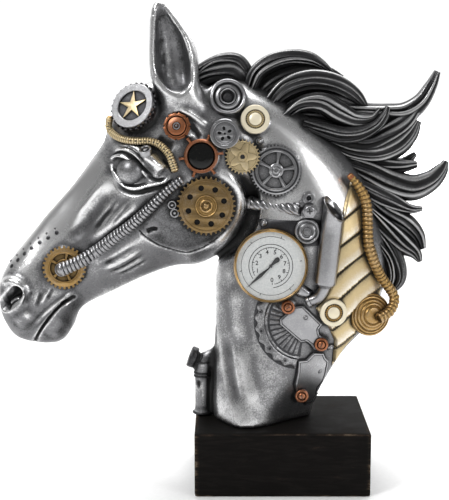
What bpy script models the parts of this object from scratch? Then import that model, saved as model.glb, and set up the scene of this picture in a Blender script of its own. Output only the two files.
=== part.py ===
"""Steampunk horse head on a block plinth: a cast horse head with mane, dressed with gears, washers,
hoses, a pressure gauge and an exhaust pipe.

The head looks along -X, its near side is -Y and +Z is up. The origin is the centre of the plinth's
underside. Sizes are in metres. The figure itself is a free form: its points are written in figure
units, measured from the middle of the plinth's top, and FIGURE_HEIGHT says how tall it stands.
"""

import math

import bmesh
import bpy
import numpy as np
from mathutils import Matrix, Vector
from mathutils.bvhtree import BVHTree
from mathutils.geometry import delaunay_2d_cdt

# Driving dimensions of the stand and the figure.
PLINTH_LENGTH = 0.144
PLINTH_DEPTH = 0.116
PLINTH_HEIGHT = 0.053
PLINTH_EDGE_BEVEL = 0.0022
FIGURE_HEIGHT = 0.347
FIGURE_UNITS = 347.0
FIT_GAP = 0.0003
CASTING_TRIANGLES = 2600

UNIT = FIGURE_HEIGHT / FIGURE_UNITS
CASTING_VOXEL = 3.4 * UNIT

# Sizes of the dressing pieces, each a radius or a thickness. They follow the figure in figure units.
STAR_GEAR_RADIUS = 20.5 * UNIT
STAR_GEAR_THICKNESS = 6 * UNIT
STAR_GEAR_TEETH = 30
BROW_STAR_RADIUS = 13.2 * UNIT
BROW_STAR_THICKNESS = 1.2 * UNIT
CHEEK_GEAR_RADIUS = 23.6 * UNIT
CHEEK_GEAR_THICKNESS = 3.4 * UNIT
CHEEK_GEAR_TEETH = 36
CHEEK_GEAR_HOLES = 8
CHEEK_HUB_RADIUS = 8.6 * UNIT
CHEEK_HUB_HEIGHT = 2.6 * UNIT
MUZZLE_GEAR_RADIUS = 17.8 * UNIT
MUZZLE_GEAR_THICKNESS = 3.2 * UNIT
MUZZLE_GEAR_TEETH = 28
TEMPLE_GEAR_RADIUS = 14.2 * UNIT
TEMPLE_GEAR_THICKNESS = 2.6 * UNIT
TEMPLE_GEAR_TEETH = 26
SPOKED_GEAR_RADIUS = 20.8 * UNIT
SPOKED_GEAR_THICKNESS = 2.8 * UNIT
SPOKED_GEAR_TEETH = 42
SPOKED_GEAR_SPOKES = 5
LENS_RING_RADIUS = 13.6 * UNIT
LENS_RING_WALL = 2.4 * UNIT
LENS_RING_THICKNESS = 4.2 * UNIT
LENS_RING_LUGS = 6
LENS_THICKNESS = 2.6 * UNIT
CAP_NUT_RADIUS = 11.2 * UNIT
CAP_NUT_THICKNESS = 4.8 * UNIT
POLL_WASHER_RADIUS = 14.8 * UNIT
POLL_WASHER_THICKNESS = 5.2 * UNIT
VENT_DISC_RADIUS = 11.8 * UNIT
VENT_DISC_THICKNESS = 3.6 * UNIT
TEMPLE_WASHER_RADIUS = 11.6 * UNIT
TEMPLE_WASHER_THICKNESS = 3 * UNIT
NECK_WASHER_RADIUS = 11.2 * UNIT
NECK_WASHER_THICKNESS = 3.4 * UNIT
GAUGE_RADIUS = 29.8 * UNIT
GAUGE_HEIGHT = 8.5 * UNIT
GAUGE_RIM_WALL = 2.4 * UNIT
GAUGE_DIAL_THICKNESS = 5.5 * UNIT
GAUGE_NEEDLE_THICKNESS = 0.8 * UNIT
COIL_RADIUS = 17.8 * UNIT
COIL_HEIGHT = 7.2 * UNIT
BOLT_RADIUS = 5.6 * UNIT
BOLT_HEIGHT = 4.2 * UNIT
NECK_PLATE_THICKNESS = 3 * UNIT
PIPE_RADIUS = 8.6 * UNIT
PIPE_WALL = 1.3 * UNIT
PIPE_BORE_DEPTH = 30 * UNIT
ELBOW_RADIUS = 4.6 * UNIT
MUZZLE_HOSE_RADIUS = 3.4 * UNIT
BROW_HOSE_RADIUS = 2.7 * UNIT
NECK_HOSE_RADIUS = 4.2 * UNIT

SEAT_LIFT = 0.2 * UNIT
BOSS_SHARE = 0.9
BOSS_DEPTH = 12 * UNIT
NEAR = -1.0
FAR = 1.0

SILVER = ("antique_silver", (0.52, 0.52, 0.53), 0.34, 0.95)
STEEL = ("brushed_steel", (0.60, 0.60, 0.60), 0.30, 0.95)
BRASS = ("aged_brass", (0.56, 0.44, 0.22), 0.36, 0.9)
PALE_BRASS = ("pale_brass", (0.80, 0.72, 0.50), 0.34, 0.9)
COPPER = ("copper", (0.60, 0.27, 0.13), 0.36, 0.9)
BLACK = ("matt_black", (0.012, 0.012, 0.012), 0.5, 0.0)
GLOSS_BLACK = ("lens_black", (0.005, 0.005, 0.005), 0.08, 0.0)
DIAL_WHITE = ("dial_white", (0.78, 0.77, 0.74), 0.4, 0.0)

# Head sections from the muzzle to the poll. Each has its point on the nose line (x, z), its point on
# the jaw line (x, z), and the half widths at five even steps from the nose line to the jaw line.
HEAD_SECTIONS = [
    ((-236.5, 112), (-235, 94), (8, 10, 11, 10, 8)),
    ((-234, 121), (-232, 82), (13, 17, 19, 17, 13)),
    ((-226, 135), (-222, 68), (16, 21, 23, 21, 15)),
    ((-213, 151), (-202, 63), (16, 22, 24, 23, 17)),
    ((-204, 162), (-185, 65), (15, 20, 24, 23, 17)),
    ((-196, 172), (-175, 78), (14, 18, 23, 22, 15)),
    ((-187, 182), (-167, 94), (14, 17, 21, 20, 13)),
    ((-173, 198), (-142, 107), (15, 18, 21, 20, 13)),
    ((-158, 218), (-115, 120), (18, 24, 28, 25, 16)),
    ((-147, 234), (-90, 129), (22, 32, 34, 30, 20)),
    ((-143, 249), (-66, 132), (26, 36, 38, 36, 25)),
    ((-134, 264), (-42, 148), (27, 37, 39, 39, 30)),
    ((-116, 279), (-24, 175), (26, 35, 38, 38, 31)),
    ((-96, 284), (-14, 200), (24, 32, 35, 36, 30)),
    ((-75, 284), (-10, 225), (20, 27, 31, 32, 26)),
    ((-58, 277), (-20, 245), (12, 18, 22, 20, 14)),
]

# Neck sections from the foot to the poll: the throat point, the crest point and the half widths at
# five even steps between them.
NECK_SECTIONS = [
    ((-57, 0), (26, 0), (30, 46, 40, 23, 12)),
    ((-58, 15), (30, 15), (28, 43, 39, 25, 13)),
    ((-57, 35), (40, 35), (26, 39, 38, 28, 15)),
    ((-56, 58), (53, 56), (25, 37, 38, 30, 18)),
    ((-55, 85), (72, 78), (24, 36, 38, 33, 20)),
    ((-55, 110), (85, 106), (24, 36, 38, 34, 21)),
    ((-54, 130), (89, 138), (24, 36, 38, 34, 21)),
    ((-46, 148), (84, 166), (24, 36, 38, 33, 19)),
    ((-36, 170), (74, 194), (24, 35, 37, 31, 17)),
    ((-32, 195), (55, 223), (22, 33, 35, 29, 16)),
    ((-36, 220), (30, 248), (20, 31, 32, 27, 16)),
    ((-48, 242), (2, 267), (18, 28, 30, 25, 15)),
    ((-62, 258), (-28, 281), (16, 24, 26, 22, 13)),
    ((-75, 266), (-50, 285), (10, 16, 18, 16, 10)),
]

# Near ear, from its root to its tip: height, left and right edge, half depth, then the left and right
# edge of the hollow and how deep it is.
EAR_SECTIONS = [
    (262, -100, -60, 13, -84, -83, 0),
    (272, -102, -65, 13, -86, -83, 1),
    (279, -105, -67, 13, -96, -75, 9),
    (290, -107.5, -68, 13, -103, -73, 15),
    (305, -108, -70, 12.5, -104.5, -75, 16),
    (318, -107.5, -75, 11, -104, -79.5, 13),
    (330, -107, -83, 8.5, -103, -87, 9),
    (341, -105, -92, 5.5, -101, -95, 4),
    (347, -102.5, -97, 3, -100, -99, 0),
]
EAR_DEPTH_CENTRE = 24.0
OPEN_SIDE_DEPTH = 20.0
EAR_LEAN = 3.0

# Locks of the mane. Each has its offset from the middle plane towards the near side, its thickness
# there and its route: (x, z, half width).
MANE_LOCKS = {
    "crown_arch": (0, 9, [
        (-74, 285, 5), (-63, 294, 5.5), (-51, 299, 6),
        (-38, 299, 5.5), (-30, 292, 4.5), (-25, 280, 4)]),
    "second_hump": (2, 12, [
        (-27, 272, 5), (-21, 288, 7), (-9, 297, 8), (6, 301, 7.5),
        (20, 300, 6.5), (30, 296, 4.5), (41, 288, 2)]),
    "third_hump": (6, 15, [
        (-12, 264, 5), (2, 277, 8), (22, 283, 9),
        (43, 280, 8), (59, 271, 6), (70, 258, 2.5)]),
    "fore_wave": (16, 8, [
        (0, 254, 4), (14, 264, 6), (30, 265, 8), (45, 257, 8.5),
        (59, 251, 7), (73, 252, 5), (80, 260, 2.2)]),
    "under_wave": (17, 8, [
        (16, 248, 4), (32, 243, 6), (48, 239, 7), (63, 240, 6.5),
        (76, 246, 5), (83, 254, 4), (86, 262, 2)]),
    "upper_curl": (0, 13, [
        (40, 258, 8), (68, 256, 9), (85, 255, 9.5), (101, 256, 9),
        (114, 265, 7), (122, 278, 5.2), (127, 290, 2.6)]),
    "curl_root": (6, 10, [(40, 240, 7), (66, 234, 8), (84, 240, 9), (100, 249, 8), (111, 262, 5)]),
    "lower_bulge": (3, 12, [
        (40, 233, 6), (58, 225, 7), (78, 223, 8.5),
        (95, 229, 8.5), (106, 239, 6.5), (112, 250, 3)]),
    "lower_curl": (2, 12, [
        (52, 216, 6), (71, 209, 9), (90, 200, 10.5), (108, 195, 10.5),
        (123, 200, 8.6), (132, 209, 6.2), (137, 218, 2.4)]),
    "side_tip": (4, 10, [(60, 200, 5), (78, 189, 7.5), (95, 181, 7), (107, 177, 4.6), (117, 177, 2)]),
    "back_fan_a": (0, 11, [(65, 191, 5), (84, 176, 9), (102, 166, 9), (113, 155, 6.5), (118, 143, 3)]),
    "back_fan_b": (7, 9, [(70, 178, 5), (86, 162, 8), (100, 149, 8.5), (111, 141, 5.6), (116, 133, 2)]),
    "back_fan_c": (2, 11, [(74, 166, 6), (87, 148, 8), (95, 132, 8.5), (98, 118, 6.5), (92, 106, 2.4)]),
    "back_fan_d": (9, 7, [(78, 152, 4), (86, 137, 6), (90, 122, 5.5), (90, 110, 2)]),
    "far_wave": (-16, 8, [
        (4, 256, 4), (20, 264, 7), (40, 259, 8),
        (60, 250, 7), (78, 250, 4.5), (88, 260, 2)]),
    "far_sweep": (-15, 8, [(30, 240, 5), (52, 226, 8), (76, 214, 8), (98, 212, 6), (112, 222, 2.4)]),
    "far_fan": (-12, 9, [(62, 196, 6), (80, 172, 9), (94, 148, 8.5), (98, 124, 5), (92, 108, 2.2)]),
}

# Carving of the sides: strokes that raise (+) or sink (-) the skin. Each stroke has a height, a
# reach and its route (x, z).
CARVING = [
    ("socket", -3.0, 11, [(-131, 214), (-112, 209)]),
    ("brow", 4.5, 7, [(-139, 225), (-124, 229), (-110, 224), (-95, 211)]),
    ("brow lobe", 4.0, 8, [(-110, 223), (-93, 212)]),
    ("lower lid", 3.0, 4.5, [(-140, 216), (-133, 203), (-119, 197), (-102, 201)]),
    ("temple hollow", -3.5, 10, [(-104, 236), (-88, 226)]),
    ("cheek bone", 3.0, 8, [(-114, 189), (-136, 170), (-158, 152)]),
    ("nasal hollow", -3.2, 8, [(-136, 198), (-156, 176), (-176, 154), (-192, 138)]),
    ("lower hollow", -3.0, 9, [(-108, 172), (-132, 150), (-152, 132)]),
    ("throat crease", -6.5, 6, [(-44, 214), (-29, 200), (-24, 180), (-30, 160), (-44, 143), (-58, 136)]),
    ("cheek edge", 3.2, 8, [(-56, 212), (-41, 203), (-35, 184), (-40, 164), (-54, 149), (-74, 143)]),
    ("nostril rim", 4.0, 6, [(-231, 116), (-220, 119), (-213, 110), (-216, 98), (-226, 92)]),
    ("nostril", -9.0, 6, [(-225, 108), (-222, 101)]),
    ("mouth", -3.4, 3.2, [(-212, 66), (-202, 81), (-191, 93), (-181, 102), (-173, 106)]),
    ("chin", 3.0, 12, [(-188, 78)]),
    ("lip", 2.5, 9, [(-222, 82), (-206, 95)]),
    ("neck strap", 3.0, 9, [(-42, 120), (-40, 80), (-34, 40), (-26, 12)]),
    ("neck fold", -3.6, 8, [(-28, 110), (-26, 75), (-20, 45)]),
    ("neck rise", 2.0, 14, [(-8, 70), (-4, 35)]),
]

EYE_CENTRE = (-122.0, 211.0)
EYE_DEPTH = 28.5
EYE_RADIUS = 11.5
# Round the eye the casting keeps more of its facets than elsewhere.
EYE_ZONE = 21
EYE_THINNING = 0.25

# Front bottle beside the neck: (radius, height) of its standing part and of its tilted cap.
BOTTLE_FOOT = (-66, 0)
BOTTLE_PROFILE = [(7.8, 0), (7.8, 4), (6.8, 6), (6.8, 33), (7.6, 35), (7.6, 47), (5.5, 56)]
BOTTLE_CAP_ENDS = ((-66, 50), (-77, 67))
BOTTLE_CAP_PROFILE = [(5.2, 0), (5.2, 13), (8.8, 15), (8.8, 19.5)]
BOTTLE_SHOULDER = [(-66, 50, 5.5), (-60, 56, 6.5), (-48, 59, 7)]


def beside(place, reach, bearing):
    """The (x, z) point at a reach in metres and a bearing in degrees from another."""
    turn = math.radians(bearing)
    return (place[0] + reach / UNIT * math.cos(turn), place[1] + reach / UNIT * math.sin(turn))


STAR_GEAR_PLACE = (-116, 259)
STAR_GEAR_FACING = (-0.42, -0.80, 0.42)
STAR_GEAR_DISH_RADIUS = 13.8 * UNIT
STAR_GEAR_DISH_DEPTH = 2 * UNIT
MUZZLE_GEAR_PLACE = (-179, 131)
CHEEK_GEAR_PLACE = (-62, 184)
TEMPLE_FACING = (-0.02, -0.995, 0.08)
POLL_FACING = (0.02, -0.95, 0.28)
GAUGE_FACING = (-0.03, -0.997, 0.05)
SPOKED_GEAR_PLACE = (-6, 212)
TEMPLE_GEAR_PLACE = (-33, 223)
VENT_DISC_PLACE = (-47, 241.5)
LENS_PLACE = (-66, 224)
LENS_LUG_REACH = 4.4 * UNIT
POLL_WASHER_PLACE = (-45, 269)
CAP_NUT_PLACE = (-85, 247)
CAP_NUT_FACING = (-0.12, -0.96, 0.2)
TEMPLE_WASHER_PLACE = (-23, 252)
SPRING_DISC_PLACE = (19, 163.4)
SPRING_DISC_RADIUS = 10.2 * UNIT
SPRING_DISC_THICKNESS = 4.2 * UNIT
# The gauge stands just clear of the spring disc, and the first bolt just clear of the gauge.
GAUGE_PLACE = beside(SPRING_DISC_PLACE, GAUGE_RADIUS + SPRING_DISC_RADIUS + 0.24 * UNIT, 223.9)
GAUGE_NEEDLE = [(-0.62, -0.60), (0.10, 0.06), (0.24, 0.16), (0.18, 0.25), (0.06, 0.12)]
ROD_RADIUS = 5.2 * UNIT
ROD_NUT_RADIUS = 6 * UNIT
ROD_ENDS = (
    (-27, 184),
    (SPRING_DISC_PLACE[0] - 3, SPRING_DISC_PLACE[1] + (SPRING_DISC_RADIUS + ROD_NUT_RADIUS) / UNIT + 1.2),
)
PIPE_FOOT = (33.5, 120)
PIPE_HEAD = (41, 188)
PIPE_MOUTH_FACING = (0.75, -0.5, 0.75)
ELBOW_ROUTE = [(29, 110, 3), (21, 105.5, 0.5)]
COIL_PLACE = (70.5, 91)
COIL_FACING = (0.36, -0.93, 0.05)
NECK_WASHER_PLACE = (40.5, 96.5)
GUARD_FACING = (0.12, -0.99, 0.0)
GUARD_SINK = 0.5 * UNIT
GUARD_FACET = 19
BOLT_PLACES = [beside(GAUGE_PLACE, GAUGE_RADIUS + BOLT_RADIUS + 1.63 * UNIT, -67.5), (32, 69), (17, 23)]
BOLT_LIFT = 2 * UNIT
BROW_HOSE_ROUTE = [
    (-140, 253), (-141, 246), (-136, 240), (-128, 237), (-117, 236), (-107, 236), (-99, 233), (-92, 226),
    (-89, 219), (-87, 213.5),
]
MUZZLE_HOSE_SWELL = 1.6
MUZZLE_HOSE_ROUTE = [
    (-180, 131), (-164, 138), (-150, 147), (-136, 158), (-122, 169), (-108, 182), (-95, 195), (-82, 205.5),
]
NECK_HOSE_ROUTE = [(54, 207), (60, 200), (66, 190), (68.5, 178), (69, 164), (70, 150), (75, 136), (81.5, 123)]
# The hose's last stretch, on the coil disc's own frame.
COIL_HOSE_ROUTE = [(18.5, 16.5, 6.5), (18.5, 9.5, 7.8), (12.5, 2.5, 10.6), (3, -1.5, 12.1)]
STEEL_PLATE_LIFT = 2 * UNIT
STEEL_PLATE_ROOT = 6 * UNIT
STEEL_PLATES = [
    [(-2, 104), (21, 105), (38, 86), (37, 80), (42, 72), (32, 65), (23, 70), (18, 74), (13, 74), (-6, 90),
     (-2, 95)],
    [(29, 66), (37, 61), (42, 56), (43, 44), (40, 35), (31, 26), (24, 16), (17, 17), (14, 30), (9, 35),
     (8, 58), (19, 61)],
]
NECK_GUARD = [
    (55, 202), (50, 186), (47, 172), (42, 135), (38, 116), (30, 104), (27, 100), (38, 83), (43, 71), (43, 45),
    (53, 62), (63, 74), (80, 100), (84, 118), (79, 139), (71, 163), (63, 192),
]


def at(x, z, y=0.0):
    """A point of the figure in metres, from figure units above the plinth's top."""
    return Vector((x * UNIT, y * UNIT, PLINTH_HEIGHT + FIT_GAP + z * UNIT))


def in_metres(rows):
    """Rows of numbers in figure units, as metres."""
    return [tuple(value * UNIT for value in row) for row in rows]


def clear_scene():
    for obj in list(bpy.data.objects):
        bpy.data.objects.remove(obj)


def material(spec):
    name, colour, roughness, metallic = spec
    found = bpy.data.materials.get(name)
    if found:
        return found
    made = bpy.data.materials.new(name)
    made.use_nodes = True
    made.diffuse_color = (*colour, 1)
    shader = made.node_tree.nodes["Principled BSDF"]
    shader.inputs["Base Color"].default_value = (*colour, 1)
    shader.inputs["Roughness"].default_value = roughness
    shader.inputs["Metallic"].default_value = metallic
    return made


def new_object(name, mesh, spec=None, frame=None):
    obj = bpy.data.objects.new(name, mesh)
    bpy.context.scene.collection.objects.link(obj)
    if spec:
        mesh.materials.append(material(spec))
    if frame is not None:
        obj.matrix_world = frame
    return obj


def mesh_from(name, points, faces):
    mesh = bpy.data.meshes.new(name)
    mesh.from_pydata([tuple(p) for p in points], [], faces)
    mesh.update()
    return mesh


def spline(values, steps):
    """Catmull-Rom curve through rows of numbers, with `steps` spans between neighbours."""
    rows = np.array(values, float)
    ends = np.vstack([2 * rows[0] - rows[1], rows, 2 * rows[-1] - rows[-2]])
    out = []
    for i in range(len(rows) - 1):
        a, b, c, d = ends[i : i + 4]
        for t in np.arange(steps) / steps:
            out.append(
                0.5 * (2 * b + (c - a) * t + (2 * a - 5 * b + 4 * c - d) * t**2
                       + (3 * b - a - 3 * c + d) * t**3)
            )
    out.append(rows[-1])
    return np.array(out)


def skin(name, rings):
    """A closed mesh through rings of equally many points, with a fan on each end."""
    count = len(rings[0])
    points = [p for ring in rings for p in ring]
    faces = []
    for i in range(len(rings) - 1):
        for k in range(count):
            n = (k + 1) % count
            faces.append((i * count + k, i * count + n, (i + 1) * count + n, (i + 1) * count + k))
    first, last = len(points), len(points) + 1
    points += [np.mean(rings[0], axis=0), np.mean(rings[-1], axis=0)]
    base = (len(rings) - 1) * count
    for k in range(count):
        n = (k + 1) % count
        faces.append((first, n, k))
        faces.append((last, base + k, base + n))
    mesh = mesh_from(name, points, faces)
    face_outwards(mesh)
    return mesh


def face_outwards(mesh):
    work = bmesh.new()
    work.from_mesh(mesh)
    bmesh.ops.recalc_face_normals(work, faces=work.faces)
    work.to_mesh(mesh)
    work.free()


def section_body(name, sections, spans=4, points=36, squareness=2.7):
    """The body lofted through sections that are symmetric about the middle plane."""
    rows = spline([(*top, *bottom, *widths) for top, bottom, widths in sections], spans)
    share = (1 - np.cos(np.linspace(0, math.pi, points // 2 + 1))) / 2
    rings = []
    for row in rows:
        top, bottom, widths = row[0:2], row[2:4], row[4:9]
        half = np.interp(share, np.linspace(0, 1, 5), widths)
        half = half * (1 - np.abs(2 * share - 1) ** squareness) ** (1 / squareness)
        line = top + np.outer(share, bottom - top)
        near = [at(x, z, -w) for (x, z), w in zip(line, half)]
        far = [at(x, z, w) for (x, z), w in zip(line[-2:0:-1], half[-2:0:-1])]
        rings.append([tuple(p) for p in near + far])
    return skin(name, rings)


def ear_body(name, side):
    """An upright leaf with a scooped front, leaning out a little towards its tip."""
    rings = []
    rows = spline(EAR_SECTIONS, 3)
    for z, left, right, depth, hollow_left, hollow_right, hollow in rows:
        middle, half = (left + right) / 2, (right - left) / 2
        rise = (z - EAR_SECTIONS[0][0]) / (EAR_SECTIONS[-1][0] - EAR_SECTIONS[0][0])
        centre = EAR_DEPTH_CENTRE + EAR_LEAN * rise
        ring = []
        for k in range(40):
            turn = 2 * math.pi * k / 40
            x = middle + half * math.cos(turn)
            outward = depth * math.sin(turn)
            if outward > 0 and hollow > 0:
                across = (x - hollow_left) / max(hollow_right - hollow_left, 0.1)
                if 0 < across < 1:
                    outward -= hollow * min(1.0, 5 * across * (1 - across))
            ring.append(tuple(at(x, z, side * (centre + outward))))
        rings.append(ring)
    return skin(name, rings)


def lock_body(name, offset, thickness, route, spans=4, points=12):
    """One lock of the mane: a flattened sweep that narrows to its tip."""
    rows = spline([(x, z, w) for x, z, w in route], spans)
    rings = []
    for i, (x, z, half) in enumerate(rows):
        ahead = rows[min(i + 1, len(rows) - 1)][:2] - rows[max(i - 1, 0)][:2]
        ahead /= np.linalg.norm(ahead)
        across = np.array([-ahead[1], ahead[0]])
        rise = i / (len(rows) - 1)
        deep = thickness * (1 - 0.72 * rise**2)
        ring = []
        for k in range(points):
            turn = 2 * math.pi * k / points
            px, pz = np.array([x, z]) + across * half * math.cos(turn)
            ring.append(tuple(at(px, pz, -offset * (1 - 0.5 * rise) + deep * math.sin(turn))))
        rings.append(ring)
    return skin(name, rings)


def turned_mesh(name, profile, segments, frame=None):
    """A solid turned about its local Z from (radius, height) points, from the axis to the axis."""
    points, rings = [], []
    for radius, height in profile:
        if radius <= 0:
            rings.append([len(points)])
            points.append((0, 0, height))
            continue
        rings.append(list(range(len(points), len(points) + segments)))
        for k in range(segments):
            turn = 2 * math.pi * k / segments
            points.append((radius * math.cos(turn), radius * math.sin(turn), height))
    faces = []
    for a, b in zip(rings, rings[1:]):
        for k in range(segments):
            n = (k + 1) % segments
            face = [a[k % len(a)], a[n % len(a)], b[n % len(b)], b[k % len(b)]]
            faces.append(tuple(dict.fromkeys(face)))
    if frame is not None:
        points = [frame @ Vector(p) for p in points]
    mesh = mesh_from(name, points, [f for f in faces if len(f) > 2])
    face_outwards(mesh)
    return mesh


def ring_mesh(name, profile, segments):
    """A ring turned about its local Z from a closed loop of (radius, height) points."""
    points, faces = [], []
    for radius, height in profile:
        for k in range(segments):
            turn = 2 * math.pi * k / segments
            points.append((radius * math.cos(turn), radius * math.sin(turn), height))
    loops = len(profile)
    for i in range(loops):
        j = (i + 1) % loops
        for k in range(segments):
            n = (k + 1) % segments
            faces.append((i * segments + k, i * segments + n, j * segments + n, j * segments + k))
    mesh = mesh_from(name, points, faces)
    face_outwards(mesh)
    return mesh


def fused(name, meshes, voxel):
    """The meshes joined into one skin by a voxel remesh, keeping only its outer shell."""
    work = bmesh.new()
    for mesh in meshes:
        work.from_mesh(mesh)
    joined = bpy.data.meshes.new(name)
    work.to_mesh(joined)
    work.free()
    obj = new_object(name, joined)
    remesh = obj.modifiers.new("skin", "REMESH")
    remesh.mode = "VOXEL"
    remesh.voxel_size = voxel
    return applied(obj)


def applied(obj):
    """The object's evaluated mesh, reduced to its largest shell. The object is removed."""
    graph = bpy.context.evaluated_depsgraph_get()
    mesh = bpy.data.meshes.new_from_object(obj.evaluated_get(graph))
    bpy.data.objects.remove(obj)
    work = bmesh.new()
    work.from_mesh(mesh)
    seen, shells = set(), []
    for start in work.verts:
        if start in seen:
            continue
        shell, front = {start}, [start]
        while front:
            vert = front.pop()
            for edge in vert.link_edges:
                other = edge.other_vert(vert)
                if other not in shell:
                    shell.add(other)
                    front.append(other)
        seen |= shell
        shells.append(shell)
    keep = max(shells, key=len)
    loose = [v for v in work.verts if v not in keep]
    bmesh.ops.delete(work, geom=loose, context="VERTS")
    work.to_mesh(mesh)
    work.free()
    return mesh


def stroke_distance(points, route):
    """Distance in the side view from each (x, z) point to a stroke's route."""
    route = np.array(route, float)
    if len(route) == 1:
        return np.linalg.norm(points - route[0], axis=1)
    best = np.full(len(points), np.inf)
    for a, b in zip(route, route[1:]):
        span = b - a
        along = np.clip(((points - a) @ span) / (span @ span), 0, 1)
        best = np.minimum(best, np.linalg.norm(points - a - along[:, None] * span, axis=1))
    return best


def carve(mesh):
    """Raises and sinks the sides of the casting along the strokes of CARVING."""
    count = len(mesh.vertices)
    place = np.zeros(count * 3, np.float32)
    normal = np.zeros(count * 3, np.float32)
    mesh.vertices.foreach_get("co", place)
    mesh.vertices.foreach_get("normal", normal)
    place = place.reshape(-1, 3).astype(float)
    normal = normal.reshape(-1, 3).astype(float)
    foot = at(0, 0)
    side_view = np.stack([place[:, 0] / UNIT, (place[:, 2] - foot.z) / UNIT], axis=1)
    facing = np.clip(np.abs(normal[:, 1]) * 1.6, 0, 1)
    lift = np.zeros(count)
    for _, height, reach, route in CARVING:
        near = np.clip(1 - (stroke_distance(side_view, route) / reach) ** 2, 0, 1)
        lift += height * near**2
    place += normal * (lift * facing * UNIT)[:, None]
    mesh.vertices.foreach_set("co", place.astype(np.float32).ravel())
    mesh.update()


def thinned(name, mesh, triangles):
    """The mesh with no more than about this many triangles."""
    obj = new_object(name, mesh)
    share = obj.modifiers.new("share", "DECIMATE")
    share.ratio = triangles / (2 * len(mesh.polygons))
    share.use_collapse_triangulate = True
    thin = obj.vertex_groups.new(name="thin")
    eye = at(*EYE_CENTRE)
    for vert in mesh.vertices:
        off = math.hypot(vert.co.x - eye.x, vert.co.z - eye.z) / (EYE_ZONE * UNIT)
        thin.add([vert.index], min(1, max(EYE_THINNING, off**4)), "REPLACE")
    share.vertex_group = thin.name
    share.vertex_group_factor = 2
    return applied(obj)


def front_pipe_meshes():
    """The bottle in front of the neck: its standing part, its shoulder and its tilted filler cap."""
    profile = in_metres([(0, 0)] + BOTTLE_PROFILE + [(0, BOTTLE_PROFILE[-1][1])])
    standing = turned_mesh("bottle", profile, 14, Matrix.Translation(at(*BOTTLE_FOOT)))
    shoulder = lock_body("shoulder", 0, 6, BOTTLE_SHOULDER, 2, 10)
    low, high = (at(*p) for p in BOTTLE_CAP_ENDS)
    profile = in_metres([(0, 0)] + BOTTLE_CAP_PROFILE + [(0, BOTTLE_CAP_PROFILE[-1][1])])
    cap = turned_mesh("cap", profile, 14, frame_towards(low, high - low, up=(0, -1, 0)))
    return [standing, shoulder, cap]


def frame_towards(place, direction, up=(0, 0, 1)):
    """A frame whose Z runs along direction and whose Y leans towards up."""
    z = Vector(direction).normalized()
    x = Vector(up).cross(z).normalized()
    y = z.cross(x)
    frame = Matrix((x, y, z)).transposed().to_4x4()
    frame.translation = Vector(place)
    return frame


def casting_form():
    """Head, neck, ears, mane and bottle in one skin, before anything is seated on it."""
    parts = [section_body("head", HEAD_SECTIONS), section_body("neck", NECK_SECTIONS)]
    parts += [ear_body("near_ear", NEAR), ear_body("far_ear", FAR)]
    parts += [lock_body(name, *lock) for name, lock in MANE_LOCKS.items()]
    for side in (NEAR, FAR):
        eye = bmesh.new()
        place = at(*EYE_CENTRE, side * EYE_DEPTH)
        bmesh.ops.create_uvsphere(
            eye, u_segments=20, v_segments=12, radius=EYE_RADIUS * UNIT, matrix=Matrix.Translation(place)
        )
        mesh = bpy.data.meshes.new("eyeball")
        eye.to_mesh(mesh)
        eye.free()
        parts.append(mesh)
    form = fused("casting_form", parts, CASTING_VOXEL)
    carve(form)
    return form


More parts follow.
